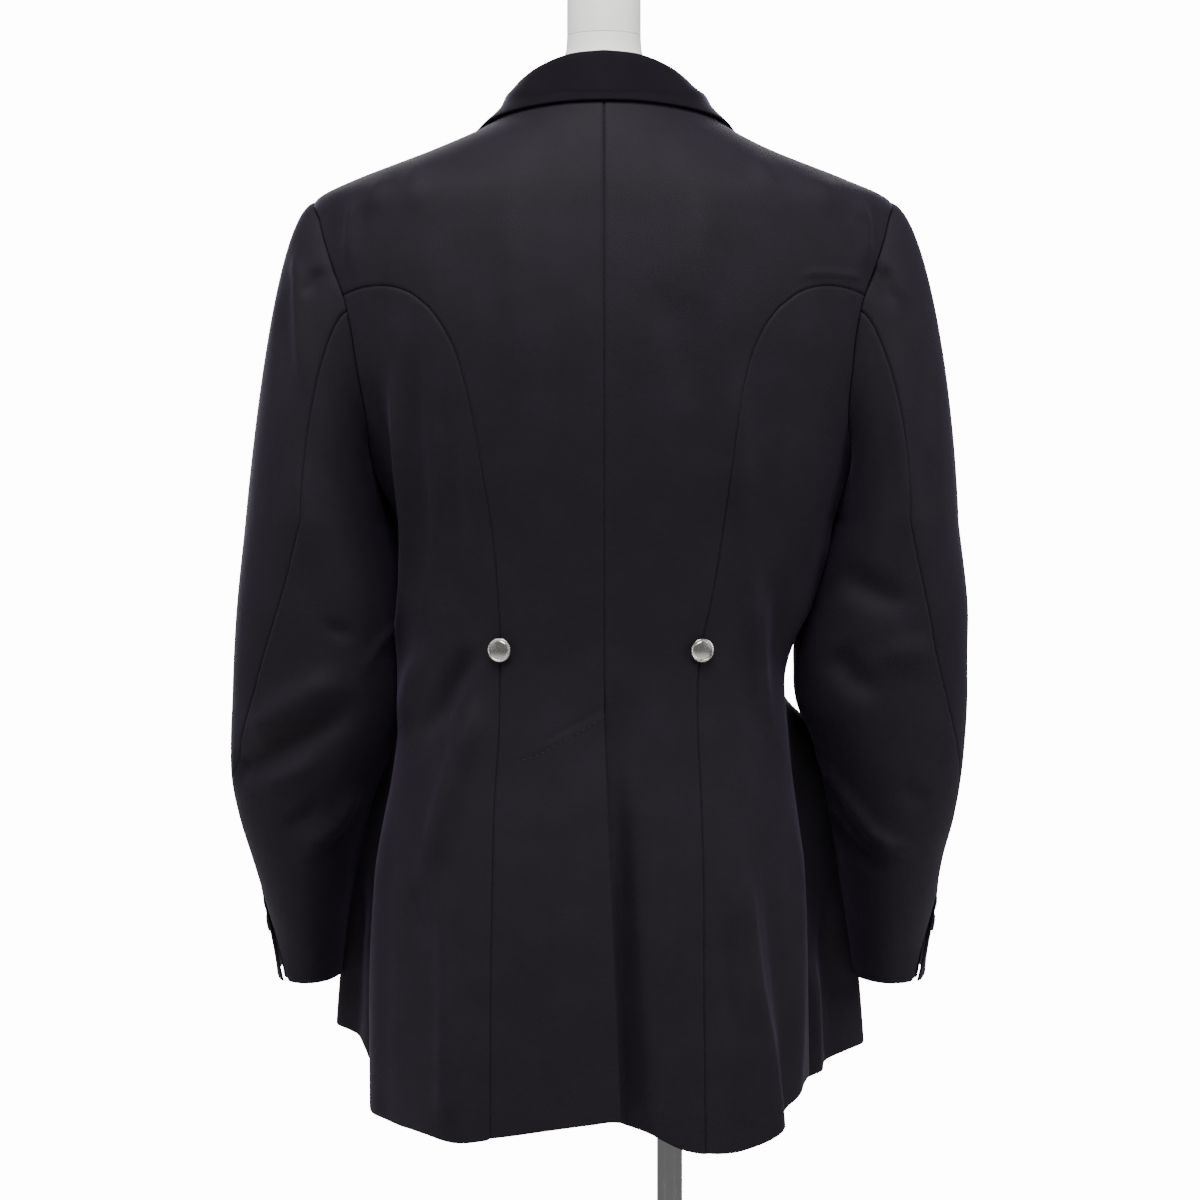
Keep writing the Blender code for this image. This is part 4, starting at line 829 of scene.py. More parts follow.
def throughKnots(run, knots, place):
    index = min(max(int(np.searchsorted(run, place)) - 1, 0), len(run) - 2)
    slopes = []
    for at in (index, index + 1):
        low, high = max(at - 1, 0), min(at + 1, len(run) - 1)
        slopes.append((knots[high] - knots[low]) / (run[high] - run[low]))
    step = run[index + 1] - run[index]
    part = (place - run[index]) / step
    return cubic(part, step, knots[index], knots[index + 1], *slopes)


# The sleeves


def armholeRing(side):
    points = curveThrough(armhole, 361, closed=True)[:-1]
    face = bodyFace(points[:, 0], points[:, 1], side)
    lift = headStandOff + creaseDepth(creaseSpot(points[:, 0], points[:, 1], side), points[:, 1], bodyCreases)
    face = face + bodyNormal(points[:, 0], points[:, 1], side) * lift[:, None]
    turns = np.degrees(np.arctan2(face[:, 1] - 0.002, (face[:, 2] - 1.2535) * 0.62))
    order = np.argsort(turns)
    turns, face = turns[order], face[order]

    def at(angle):
        return np.stack([np.interp(angle, turns, face[:, k], period=360) for k in range(3)], -1)

    return at


def blendRows(step):
    rows = [(index,) + row for index, row in enumerate(sleeveSections)]
    return [through(rows, step, column) for column in range(1, len(rows[0]))]


def sleevePoint(side, angle, row):
    height, centre, half = row[0], row[1 if side == 1 else 3], row[2 if side == 1 else 4]
    slope = -0.12 * smoothStep((1.02 - height) / 0.08)
    back = np.sin(np.radians(angle)) * row[6]
    outward = centre + np.cos(np.radians(angle)) * half
    return np.stack([side * outward, row[5] + back, height + back * slope], -1)


def capPoint(side, opening, angle, part):
    start = opening(angle)
    end = sleevePoint(side, angle, blendRows(np.zeros(np.shape(angle))))
    topness = np.maximum(np.cos(np.radians(angle)), 0.0)[..., None]
    underness = np.maximum(-np.cos(np.radians(angle)), 0.0)[..., None]
    away = np.concatenate([np.full(topness.shape, float(side)), np.zeros(topness.shape), 0.1 * topness], -1)
    outward = start + away * (0.0012 + 0.022 * topness + 0.012 * (1 - topness - underness))
    drop = (start[..., 2:] - end[..., 2:]) * 0.5
    lean = side * (0.002 * underness - capLean[side] * topness)
    above = end + np.concatenate([lean, np.zeros(drop.shape), drop], -1)
    p = part[..., None]
    return start * (1 - p) ** 3 + outward * 3 * p * (1 - p) ** 2 + above * 3 * p**2 * (1 - p) + end * p**3


def sleeveFace(side, opening, angle, ring):
    low = capPoint(side, opening, angle, np.clip(ring / capRings, 0, 1))
    high = sleevePoint(side, angle, blendRows(np.maximum(ring - capRings, 0.0)))
    return np.where((ring < capRings)[..., None], low, high)


def sleeveNormal(side, opening, angle, ring):
    low, high = np.maximum(ring - 0.1, 0.0), np.minimum(ring + 0.1, lastRing)
    round_ = sleeveFace(side, opening, angle + 2, ring) - sleeveFace(side, opening, angle - 2, ring)
    along = sleeveFace(side, opening, angle, high) - sleeveFace(side, opening, angle, low)
    return unit(np.cross(round_, along)) * -side


def sleeveSpots(side, face, places):
    # Metres round the sleeve from its outer side, for places (x, z) seen from behind or before.
    angle, ring = np.meshgrid(np.linspace(0, 180, 181) * face, np.linspace(0, lastRing, 160))
    cloth3d = sleeveFace(side, armholeRing(side), angle, ring)
    spots = []
    for x, z in places:
        nearest = np.argmin(np.hypot(cloth3d[..., 0] - x, cloth3d[..., 2] - z))
        spots.append((radians(angle.flat[nearest]) * sleeveRadius, z))
    return spots


sleeveCreases = {1: [], -1: []}
for side, face, points, *rest in sleeveFolds:
    sleeveCreases[side].append((sleeveSpots(side, face, points), *rest))
for side, points, *rest in sleeveSides:
    sleeveCreases[side].append(([(radians(a - 360) * sleeveRadius, z) for a, z in points], *rest))


def seamAngles(ring):
    rows = blendRows(np.maximum(ring - capRings, 0.0))
    part = np.clip(ring / capRings, 0, 1)
    first = sleeveSections[0]
    back = armholeSeamAngles[0] + (first[7] - armholeSeamAngles[0]) * part
    front = armholeSeamAngles[1] + (first[8] - armholeSeamAngles[1]) * part
    return np.where(ring < capRings, back, rows[7]), np.where(ring < capRings, front, rows[8])


def sleeveGrids(side, top):
    opening = armholeRing(side)
    # Rings as far apart as the mesh's other steps: the cap is about 0.17 m long and the rest 0.345 m.
    cap, rest = fineSteps(0.17, ends=False), fineSteps(0.345, starts=False)[1:]
    rings = np.concatenate([cap * capRings, capRings + rest * (lastRing - capRings)])
    us = fineSteps(0.2 if top else 0.15)
    back, front = seamAngles(rings)
    opened = smoothStep((cuffVent["top"] - 0.012 - blendRows(np.maximum(rings - capRings, 0.0))[0]) / 0.012)
    first, last = (front, back) if top else (back - cuffVent["underlap"] * opened, front + 360)
    angle = first[:, None] + (last - first)[:, None] * us[None, :]
    ring = rings[:, None] + 0 * angle
    face, normal = sleeveFace(side, opening, angle, ring), sleeveNormal(side, opening, angle, ring)
    spot = np.radians((angle + 180) % 360 - 180) * sleeveRadius
    creases = sleeveCreases[side]
    depth = sum(
        creaseDepth(spot + turn * 2 * pi * sleeveRadius, face[..., 2], creases, foldGain["sleeve"])
        for turn in (-1, 0, 1)
    )
    gaping = smoothStep((cuffVent["top"] - face[..., 2]) / 0.055)
    beside = np.abs(angle - back[:, None]) * radians(1) * 0.05 / cuffVent["reach"]
    lapped = smoothStep((cuffVent["top"] + 0.01 - face[..., 2]) / 0.016)
    lapped = lapped * smoothStep((back[:, None] + 8 - angle) / 8)
    depth = depth + (cuffVent["gape"] * gaping * np.exp(-(beside**2)) if top else -cuffVent["lap"] * lapped)
    face = face + normal * depth[..., None]
    length = np.where(ring < capRings, ring / capRings * 0.17, 0.17 + (ring - capRings) * 0.0345)
    marks = np.stack([angle / 360 * 0.36, -length], -1)
    backSeam, frontSeam = (face[:, -1], face[:, 0]) if top else (face[:, 0], face[:, -1])
    closed = backSeam[:, 2] > cuffVent["top"] - 0.006
    seams, edges = [backSeam[closed], frontSeam, face[0]], [face[-1], backSeam[~closed]]
    return [clothFaces(face, normal, marks, np.zeros(angle.shape), seams, edges)]


# Shapes that repeat along a path


def turnedMesh(name, profile, steps):
    # A closed turned shape round Z from a profile that starts and ends on the axis.
    points, faces = [(0.0, 0.0, profile[0][1])], []
    rings = profile[1:-1]
    for radius, height in rings:
        for k in range(steps):
            turn = 2 * pi * k / steps
            points.append((radius * cos(turn), radius * sin(turn), height))
    points.append((0.0, 0.0, profile[-1][1]))
    last = len(points) - 1
    for k in range(steps):
        after = (k + 1) % steps
        faces.append([0, 1 + k, 1 + after])
        for r in range(len(rings) - 1):
            a, b = 1 + r * steps, 1 + (r + 1) * steps
            faces.append([a + k, b + k, b + after, a + after])
        a = 1 + (len(rings) - 1) * steps
        faces.append([a + k, last, a + after])
    mesh = bpy.data.meshes.new(name)
    mesh.from_pydata(points, [], faces)
    build = bmesh.new()
    build.from_mesh(mesh)
    bmesh.ops.recalc_face_normals(build, faces=build.faces)
    build.to_mesh(mesh)
    build.free()
    mesh.shade_smooth()
    mesh.set_sharp_from_angle(angle=radians(35))
    return mesh


def repeatGroup():
    # Stitches or beads at even steps along a path whose points carry the cloth's outward line.
    group = bpy.data.node_groups.new("shapesAlongPath", "GeometryNodeTree")
    sockets = {}
    for word, kind in (
        ("Path", "NodeSocketGeometry"), ("Shape", "NodeSocketObject"), ("Spacing", "NodeSocketFloat"),
        ("Size variation", "NodeSocketFloat"), ("Seed", "NodeSocketInt"), ("Material", "NodeSocketMaterial"),
    ):
        sockets[word] = group.interface.new_socket(word, in_out="INPUT", socket_type=kind).identifier
    group.interface.new_socket("Row", in_out="OUTPUT", socket_type="NodeSocketGeometry")
    given = addNode(group, "NodeGroupInput").outputs
    curve = addNode(group, "GeometryNodeMeshToCurve", links=[(given["Path"], "Mesh")])
    spread = addNode(group, "GeometryNodeCurveToPoints", {"mode": "LENGTH"}, None, [
        (curve.outputs[0], "Curve"), (given["Spacing"], "Length"),
    ]).outputs
    up = addNode(group, "GeometryNodeInputNamedAttribute", {"data_type": "FLOAT_VECTOR"}, {"Name": "up"})
    axes = {"primary_axis": "Z", "secondary_axis": "X"}
    turned = addNode(group, "FunctionNodeAxesToRotation", axes, None, [
        (spread["Tangent"], 0), (up.outputs["Attribute"], 1),
    ])
    least = addNode(group, "ShaderNodeMath", {"operation": "SUBTRACT"}, {0: 1.0}, [
        (given["Size variation"], 1),
    ])
    size = addNode(group, "FunctionNodeRandomValue", {"data_type": "FLOAT"}, {3: 1.0}, [
        (least.outputs[0], 2), (given["Seed"], "Seed"),
    ])
    shape = addNode(group, "GeometryNodeObjectInfo", links=[(given["Shape"], "Object")])
    placed = addNode(group, "GeometryNodeInstanceOnPoints", links=[
        (spread["Points"], "Points"), (shape.outputs["Geometry"], "Instance"),
        (turned.outputs[0], "Rotation"), (size.outputs[1], "Scale"),
    ])
    whole = addNode(group, "GeometryNodeRealizeInstances", links=[(placed.outputs[0], "Geometry")])
    coloured = addNode(group, "GeometryNodeSetMaterial", links=[
        (whole.outputs[0], "Geometry"), (given["Material"], "Material"),
    ])
    addNode(group, "NodeGroupOutput", links=[(coloured.outputs[0], 0)])
    return group, sockets


def repeated(points, ups, shape, spacing, material, closed=False, variation=0.08):
    count = len(points)
    edges = [(k, (k + 1) % count) for k in range(count if closed else count - 1)]
    path = bpy.data.meshes.new("path")
    path.from_pydata([tuple(point) for point in points], edges, [])
    outward = path.attributes.new("up", "FLOAT_VECTOR", "POINT")
    outward.data.foreach_set("vector", np.array(ups, np.float32).reshape(-1))
    carrier = addObject("path", path)
    modifier = carrier.modifiers.new("shapesAlongPath", "NODES")
    modifier.node_group = repeatTree
    for word, value in (
        ("Shape", shape), ("Spacing", spacing), ("Size variation", variation), ("Seed", 5),
        ("Material", material),
    ):
        modifier[repeatSockets[word]] = value
    made = bpy.data.meshes.new_from_object(carrier.evaluated_get(bpy.context.evaluated_depsgraph_get()))
    carrier.modifiers.clear()
    bpy.data.objects.remove(carrier)
    return made


def capsule(name, length, radius, turn, columns=7):
    # A short thick thread along the path, turned round the outward line.
    half = length / 2
    profile = [(0.0, -half), (0.6 * radius, -0.93 * half), (radius, -0.6 * half), (radius, 0.6 * half)]
    mesh = turnedMesh(name, profile + [(0.6 * radius, 0.93 * half), (0.0, half)], columns)
    mesh.transform(Matrix.Rotation(radians(turn), 4, "X"))
    return addObject(name, mesh)


def appendMesh(mesh, part, slot):
    build = bmesh.new()
    build.from_mesh(mesh)
    first = len(build.faces)
    build.from_mesh(part)
    build.faces.ensure_lookup_table()
    for face in build.faces[first:]:
        face.material_index, face.smooth = slot, True
    build.to_mesh(mesh)
    build.free()


# The buttons

buttons = {
    "large": 0.0085,  # radius at the waist and in front
    "small": 0.0065,  # radius at the cuffs
    "rimTurns": 34,  # turns of the rope round a button's rim
    "ropeSlant": 38.0,
    "steps": 64,
    "gap": 0.0003,
}


def buttonProfile(radius):
    # From the crown of the dome over the groove and the rim to the shank's foot.
    points = [(part, 0.5 - 0.16 * part * part) for part in np.linspace(0, 0.74, 9)]
    points += [(0.765, 0.385), (0.79, 0.372), (0.82, 0.382)]
    for turn in np.linspace(150, -60, 11):
        points.append((0.91 + 0.09 * cos(radians(turn)), 0.345 + 0.075 * sin(radians(turn))))
    points += [(0.85, 0.235), (0.3, 0.19), (0.24, 0.15), (0.24, 0.0), (0.0, 0.0)]
    return [(radius * across, radius * up) for across, up in points]


def buttonPlace(node):
    # The middle and the outward line of a CAD button, from its own mesh.
    mesh = bpy.data.objects[node].data
    points = np.empty(len(mesh.vertices) * 3, np.float32)
    mesh.vertices.foreach_get("co", points)
    points = np.unique(np.round(points.reshape(-1, 3).astype(float), 6), axis=0)
    middle = 0.5 * (points.min(axis=0) + points.max(axis=0))
    _, axes = np.linalg.eigh(np.cov((points - points.mean(axis=0)).T))
    return middle, axes[:, 0]


def addButton(name, radius, node, outside, panels):
    middle, axis = buttonPlace(node)
    if np.dot(axis, outside) < 0:
        axis = -axis
    axis, middle = Vector(axis), Vector(middle)
    mesh = turnedMesh(name, buttonProfile(radius), buttons["steps"])
    mesh.materials.append(silverButton)
    turns = np.linspace(0, 2 * pi, 120, endpoint=False)
    ring = np.column_stack([np.cos(turns) * 0.915, np.sin(turns) * 0.915, np.full(120, 0.372)]) * radius
    spacing = 2 * pi * 0.915 * radius / buttons["rimTurns"]
    strand = capsule("strand", spacing * 1.5, radius * 0.06, buttons["ropeSlant"])
    appendMesh(mesh, repeated(ring, [(0, 0, 1)] * 120, strand, spacing * 0.999, silverButton, True, 0.0), 0)
    bpy.data.objects.remove(strand)
    reach, highest = 0.02, -0.02
    side = axis.orthogonal().normalized() * radius * 0.24
    other = axis.cross(side)
    for panel in panels:
        tree = BVHTree.FromObject(panel, bpy.context.evaluated_depsgraph_get())
        for offset in (Vector(), side, -side, other, -other):
            hit = tree.ray_cast(middle + offset + axis * reach, -axis, 2 * reach)
            if hit[0] is not None:
                highest = max(highest, reach - hit[3])
    foot = middle + axis * (highest + buttons["gap"])
    mesh.transform(Matrix.Translation(foot) @ axis.to_track_quat("Z", "Y").to_matrix().to_4x4())
    return standFor(addObject(name, mesh), node)


# The dress form and its stand

form = {"columns": 96, "bottom": 0.8, "top": 1.48, "roundFrom": 1.466}
formSections = [
    (0.8, 0.128, 0.078, 0.08, 0.006),
    (0.806, 0.138, 0.086, 0.088, 0.006),
    (0.88, 0.134, 0.082, 0.088, 0.006),
    (0.96, 0.122, 0.076, 0.084, 0.006),
    (1.01, 0.116, 0.073, 0.083, 0.005),
    (1.07, 0.126, 0.077, 0.09, 0.0),
    (1.14, 0.148, 0.088, 0.108, -0.003),
    (1.2, 0.166, 0.096, 0.112, 0.0),
    (1.26, 0.178, 0.101, 0.108, 0.0),
    (1.31, 0.186, 0.101, 0.1, 0.0),
    (1.345, 0.188, 0.098, 0.094, 0.0),
    (1.36, 0.178, 0.096, 0.091, 0.0),
    (1.371, 0.168, 0.0945, 0.089, 0.0),
    (1.383, 0.1445, 0.0915, 0.084, 0.0),
    (1.3945, 0.1165, 0.0868, 0.07, 0.0),
    (1.404, 0.0965, 0.082, 0.06, 0.0),
    (1.414, 0.0775, 0.0755, 0.05, 0.0),
    (1.424, 0.062, 0.065, 0.044, 0.0),
    (1.434, 0.052, 0.054, 0.04, 0.0),
    (1.448, 0.038, 0.038, 0.036, 0.0),
    (1.466, 0.029, 0.029, 0.0285, 0.0),
    (1.48, 0.0275, 0.0275, 0.0275, 0.0),
]
neckProfile = [
    (0.0, 1.535), (0.012, 1.5348), (0.02, 1.534), (0.0242, 1.5315), (0.0264, 1.5275), (0.0271, 1.519),
    (0.0275, 1.505), (0.0275, 1.4803), (0.0, 1.4803),
]
stand = {
    "poleX": -0.049, "poleRadius": 0.0095, "poleTop": 0.7997, "baseRadius": 0.185,
    "baseThickness": 0.008,
}


def formMesh():
    levels = np.concatenate([[form["bottom"], 0.8008, 0.8024, 0.806], np.linspace(0.812, form["top"], 130)])
    turns = np.linspace(0, 2 * pi, form["columns"], endpoint=False)
    rings = []
    for level in levels:
        half, behind, before, shift = (float(through(formSections, level, k)) for k in range(1, 5))
        power = 2 / (float(through(bodySections, level, 6)) - 0.05)
        if level >= form["roundFrom"]:
            power = 1.0
        across, along = np.sin(turns), np.cos(turns)
        x = half * np.abs(across) ** power * np.sign(across)
        y = np.where(along >= 0, behind, before) * np.abs(along) ** power * np.sign(along)
        rings.append(np.column_stack([x + shift, y, np.full(len(turns), level)]))
    points = np.concatenate(rings + [[[0.006, 0.0, form["bottom"]], [0.0, 0.0, form["top"]]]])
    count, faces = form["columns"], []
    for r in range(len(levels) - 1):
        for k in range(count):
            after = (k + 1) % count
            faces.append([r * count + after, r * count + k, (r + 1) * count + k, (r + 1) * count + after])
    for k in range(count):
        after = (k + 1) % count
        faces.append([len(points) - 2, k, after])
        faces.append([len(points) - 1, (len(levels) - 1) * count + after, (len(levels) - 1) * count + k])
    mesh = bpy.data.meshes.new("formTorso")
    mesh.from_pydata(points.tolist(), [], faces)
    mesh.shade_smooth()
    mesh.set_sharp_from_angle(angle=radians(50))
    return mesh


# Materials


def hex3(text):
    # An sRGB hex colour as linear numbers.
    parts = [int(text[k : k + 2], 16) / 255 for k in (1, 3, 5)]
    return tuple(p / 12.92 if p <= 0.04045 else ((p + 0.055) / 1.055) ** 2.4 for p in parts)


def newMaterial(name, space=None):
    made = bpy.data.materials.new(name)
    made.use_nodes = True
    tree = made.node_tree
    place = addNode(tree, "ShaderNodeTexCoord").outputs[space] if space else None
    return made, tree, tree.nodes["Principled BSDF"], place


def addNode(tree, kind, settings=None, values=None, links=()):
    node = tree.nodes.new(kind)
    for key, value in (settings or {}).items():
        setattr(node, key, value)
    for key, value in (values or {}).items():
        node.inputs[key].default_value = value
    for source, target in links:
        tree.links.new(source, node.inputs[target])
    return node


def setShader(shader, **values):
    words = {
        "colour": "Base Color", "roughness": "Roughness", "metallic": "Metallic", "sheen": "Sheen Weight",
        "sheenRoughness": "Sheen Roughness", "sheenTint": "Sheen Tint", "specular": "Specular IOR Level",
    }
    for key, value in values.items():
        if key in ("colour", "sheenTint"):
            value = (*hex3(value), 1.0)
        shader.inputs[words[key]].default_value = value


def addNoise(tree, place, scale, detail, roughness=0.5):
    values = {"Scale": scale, "Detail": detail, "Roughness": roughness}
    return addNode(tree, "ShaderNodeTexNoise", None, values, [(place, "Vector")]).outputs["Fac"]


def mixColours(tree, shader, share, dark, light):
    mixed = addNode(tree, "ShaderNodeMix", {"data_type": "RGBA"}, None, [(share, 0)])
    mixed.inputs[6].default_value = (*hex3(dark), 1)
    mixed.inputs[7].default_value = (*hex3(light), 1)
    tree.links.new(mixed.outputs[2], shader.inputs["Base Color"])


def addBump(tree, shader, source, strength, distance):
    # A bump on top of any that the shader has already.
    values = {"Strength": strength, "Distance": distance}
    bump = addNode(tree, "ShaderNodeBump", None, values, [(source, "Height")])
    for link in shader.inputs["Normal"].links:
        tree.links.new(link.from_socket, bump.inputs["Normal"])
    tree.links.new(bump.outputs[0], shader.inputs["Normal"])


def varyRoughness(tree, shader, source, least, most, low=0.0, high=1.0):
    values = {"From Min": low, "From Max": high, "To Min": least, "To Max": most}
    mapped = addNode(tree, "ShaderNodeMapRange", None, values, [(source, "Value")])
    tree.links.new(mapped.outputs[0], shader.inputs["Roughness"])


wool = {
    "dark": "#110D13", "light": "#19141D", "sheen": 0.09, "twillPitch": 0.0011, "twillAngle": 62.0,
    "bump": 0.35, "roughness": 0.72,
}


def woolMaterial():
    # Worsted wool gabardine, steeply twilled: matt, dark, with a faint sheen along the folds.
    # The real twill lines are about 0.5 mm apart; they are drawn at 1.1 mm so that they show.
    made, tree, shader, place = newMaterial("woolGabardine", "UV")
    turned = addNode(tree, "ShaderNodeMapping", values={
        "Rotation": (0, 0, radians(wool["twillAngle"])), "Scale": (1 / wool["twillPitch"],) * 3,
    }, links=[(place, "Vector")])
    twill = addNode(tree, "ShaderNodeTexWave", {"wave_type": "BANDS", "bands_direction": "X"}, {
        "Scale": 0.3183, "Distortion": 1.2, "Detail": 1.0, "Detail Scale": 0.7,
    }, [(turned.outputs[0], "Vector")])
    cloudy, fibre = addNoise(tree, place, 26.0, 3.0), addNoise(tree, place, 900.0, 2.0)
    both = addNode(tree, "ShaderNodeMath", {"operation": "MULTIPLY_ADD"}, {1: 0.5}, [(fibre, 0), (cloudy, 2)])
    mapped = addNode(tree, "ShaderNodeMapRange", None, {"From Min": 0.4, "From Max": 1.1}, [
        (both.outputs[0], "Value"),
    ])
    mixColours(tree, shader, mapped.outputs[0], wool["dark"], wool["light"])
    addBump(tree, shader, twill.outputs["Fac"], wool["bump"], 0.0002)
    addBump(tree, shader, fibre, 0.25, 0.0002)
    setShader(shader, roughness=wool["roughness"], specular=0.17)
    setShader(shader, sheen=wool["sheen"], sheenRoughness=0.45, sheenTint="#BDA9D6")
    return made


def velvetMaterial():
    # Cotton velvet: a dense short pile that is darkest seen along it and pale at its turned edges.
    made, tree, shader, place = newMaterial("cottonVelvet", "UV")
    mixColours(tree, shader, addNoise(tree, place, 45.0, 4.0, 0.6), "#110E13", "#19151C")
    addBump(tree, shader, addNoise(tree, place, 1300.0, 1.0), 0.5, 0.0003)
    setShader(shader, roughness=0.95, sheen=0.9, sheenRoughness=0.22, sheenTint="#B3A9C2", specular=0.06)
    return made


def liningMaterial():
    # Viscose satin lining, woven smooth: it gives a soft, slightly glossy dark inside.
    made, tree, shader, place = newMaterial("viscoseLining", "UV")
    mixColours(tree, shader, addNoise(tree, place, 700.0, 1.0), "#19161C", "#231F28")
    setShader(shader, roughness=0.45, specular=0.45)
    return made


def silverMaterial():
    # Nickel silver, die struck and polished: bright highlights with darker grooves.
    made, tree, shader, place = newMaterial("polishedNickelSilver", "Object")
    marks = addNoise(tree, place, 900.0, 3.0)
    varyRoughness(tree, shader, marks, 0.16, 0.3, 0.3, 0.7)
    addBump(tree, shader, marks, 0.15, 0.0001)
    setShader(shader, colour="#C9C7C2", metallic=1.0)
    return made


def chromeMaterial():
    # Chrome-plated steel tube, polished: mirror-like with the faintest haze.
    made, tree, shader, place = newMaterial("chromePlatedSteel", "Object")
    varyRoughness(tree, shader, addNoise(tree, place, 60.0, 4.0), 0.06, 0.14)
    setShader(shader, colour="#D8D8DA", metallic=1.0)
    return made


def steelMaterial():
    # Steel plate, satin chromed: a soft blurred shine with fine turning marks.
    made, tree, shader, place = newMaterial("satinChromedPlate", "Object")
    marks = addNode(tree, "ShaderNodeTexWave", {"wave_type": "RINGS", "rings_direction": "Z"}, {
        "Scale": 160.0, "Distortion": 0.6,
    }, [(place, "Vector")])
    addBump(tree, shader, marks.outputs["Fac"], 0.08, 0.0002)
    setShader(shader, colour="#B9BABD", metallic=1.0, roughness=0.28)
    return made


def formMaterial():
    # White jersey cover over moulded foam: matt, with a fine knit.
    made, tree, shader, place = newMaterial("whiteJerseyCover", "Object")
    knit = addNoise(tree, place, 800.0, 1.0)
    mixColours(tree, shader, knit, "#EEEDEA", "#F8F8F6")
    addBump(tree, shader, knit, 0.2, 0.0002)
    setShader(shader, roughness=0.8, specular=0.25)
    return made


def threadMaterial():
    # Silk twist for buttonholes and hand stitches, near the cloth's colour and a little glossy.
    made, tree, shader, place = newMaterial("silkTwist", "Object")
    mixColours(tree, shader, addNoise(tree, place, 2400.0, 1.0), "#151218", "#252029")
    setShader(shader, roughness=0.5, specular=0.35)
    return made


woolCloth, collarVelvet, liningCloth = woolMaterial(), velvetMaterial(), liningMaterial()
silkThread = threadMaterial()
repeatTree, repeatSockets = repeatGroup()
silverButton, chromeTube = silverMaterial(), chromeMaterial()
satinPlate, jerseyCover = steelMaterial(), formMaterial()


# Build


def addSheet(name, grids, node, slot="wool_cloth"):
    cover = collarVelvet if slot == "collar_velvet" else woolCloth
    made = shellObject(name, grids, [cover, liningCloth] if slot == "wool_cloth" else [cover])
    standFor(made, node)
    return made


panels = {}
for side, word in ((1, "left"), (-1, "right")):
    Word = word.capitalize()
    backWidth = 0.2 if side == 1 else 0.21
    # Piece, its solid, grids, flat width and length, the share of it that is filled, what it lies on.
    for piece, node, grids, flat, share, under, held in (
        ("back", "back_", backGrids(side), (backWidth, 0.8), 0.55, "form_torso", "hung"),
        ("sideBack", "side_back_", sideBackGrids(side), (0.22, 0.66), 0.62, "form_torso", "hung"),
        ("front", "front_", frontGrids(side), (0.36, 0.78), 0.6, "form_torso", "hung"),
        ("lapel", "lapel_", lapelGrids(side), (0.1, 0.26), 0.36, "front", "folded"),
        ("sleeveTop", "sleeve_top_", sleeveGrids(side, True), (0.24, 0.6), 0.75, "back", "hung"),
        ("sleeveUnder", "sleeve_under_", sleeveGrids(side, False), (0.19, 0.52), 0.75, "sideBack", "hung"),
    ):
        panels[piece + Word] = addSheet(piece + Word, grids, node + word)
panels["collar"] = addSheet(
    "collarPiece", collarGrids(), "collar", "collar_velvet",
)
print("cloth pieces made")

for word in ("left", "right"):
    Word = word.capitalize()
    sign = 1 if word == "left" else -1
    under = [panels["back" + Word], panels["sideBack" + Word]]
    addButton("buttonBack" + Word, buttons["large"], "button_back_" + word, (0.3 * sign, 1, 0), under)
    for number in range(1, 5):
        name, node = f"buttonCuff{Word}{number}", f"button_cuff_{word}_{number}"
        addButton(name, buttons["small"], node, (sign, 0.1, 0), [panels["sleeveTop" + Word]])
for number in range(1, 4):
    name, node = f"buttonFront{number}", f"button_front_{number}"
    addButton(name, buttons["large"], node, (0, -1, 0), [panels["frontRight"]])
print("buttons seated")

stitching = {
    "holeLength": 0.021, "holeHalfWidth": 0.0009, "holeSpacing": 0.00075, "holeStitch": 0.0021,
    "ventSpacing": 0.0045, "ventStitch": 0.0014,
    "threadRadius": 0.00032, "ventThreadRadius": 0.00022,
}


def onPanel(panel, spots, direction):
    # The points where lines through these spots (x, z) first meet a panel, and its outward lines.
    tree = BVHTree.FromObject(panel, bpy.context.evaluated_depsgraph_get())
    way = Vector((0, direction, 0))
    points, ups = [], []
    for x, z in spots:
        hit = tree.ray_cast(Vector((x, 0, z)) - way * 0.4, way, 0.5)
        if hit[0] is not None:
            points.append(hit[0] - way * 0.00005)
            ups.append(hit[1] if hit[1].dot(way) < 0 else -hit[1])
    return points, ups


def sewRow(panel, spots, direction, length, radius, turn, spacing, closed=False):
    # Stitches of one size along these spots (x, z) of a panel.
    stitch = capsule("stitch", length, radius, turn)
    row = repeated(*onPanel(panel, spots, direction), stitch, spacing, silkThread, closed)
    appendMesh(panel.data, row, len(panel.data.materials))
    panel.data.materials.append(silkThread)
    bpy.data.objects.remove(stitch)


def addButtonhole(panel, first, last):
    # A worked hole: stitches side by side round a slit between two spots (x, z).
    start, run = np.array(first), np.array(last) - np.array(first)
    length = np.hypot(*run)
    along, across = run / length, np.array((-run[1], run[0])) / length
    half = stitching["holeHalfWidth"]
    spots = [start + along * part * length + across * half for part in np.linspace(0, 1, 24)]
    for turn in np.linspace(0.3, pi - 0.3, 8):
        spots.append(np.array(last) + half * (along * sin(turn) + across * cos(turn)))
    spots += [start + along * part * length - across * half for part in np.linspace(1, 0, 24)]
    length, radius = stitching["holeStitch"], stitching["threadRadius"]
    sewRow(panel, spots, 1, length, radius, 90, stitching["holeSpacing"], True)


for number in range(1, 4):
    x, _, z = buttonPlace(f"button_front_{number}")[0]
    addButtonhole(panels["frontRight"], (x + 0.002, z), (x + 0.002 - stitching["holeLength"], z - 0.0006))
addButtonhole(panels["lapelLeft"], (0.0735, 1.3255), (0.056, 1.333))

# Hand stitches hold the vent's facing along its slanting upper edge.
facingEdge = [(0.003, 0.9745), (0.012, 0.968), (0.0255, 0.9605), (0.046, 0.949), (0.062, 0.9435)]
sewRow(
    panels["backLeft"], curveThrough(facingEdge, 60), -1,
    stitching["ventStitch"], stitching["ventThreadRadius"], 0, stitching["ventSpacing"],
)
print("buttonholes and hand stitches sewn")


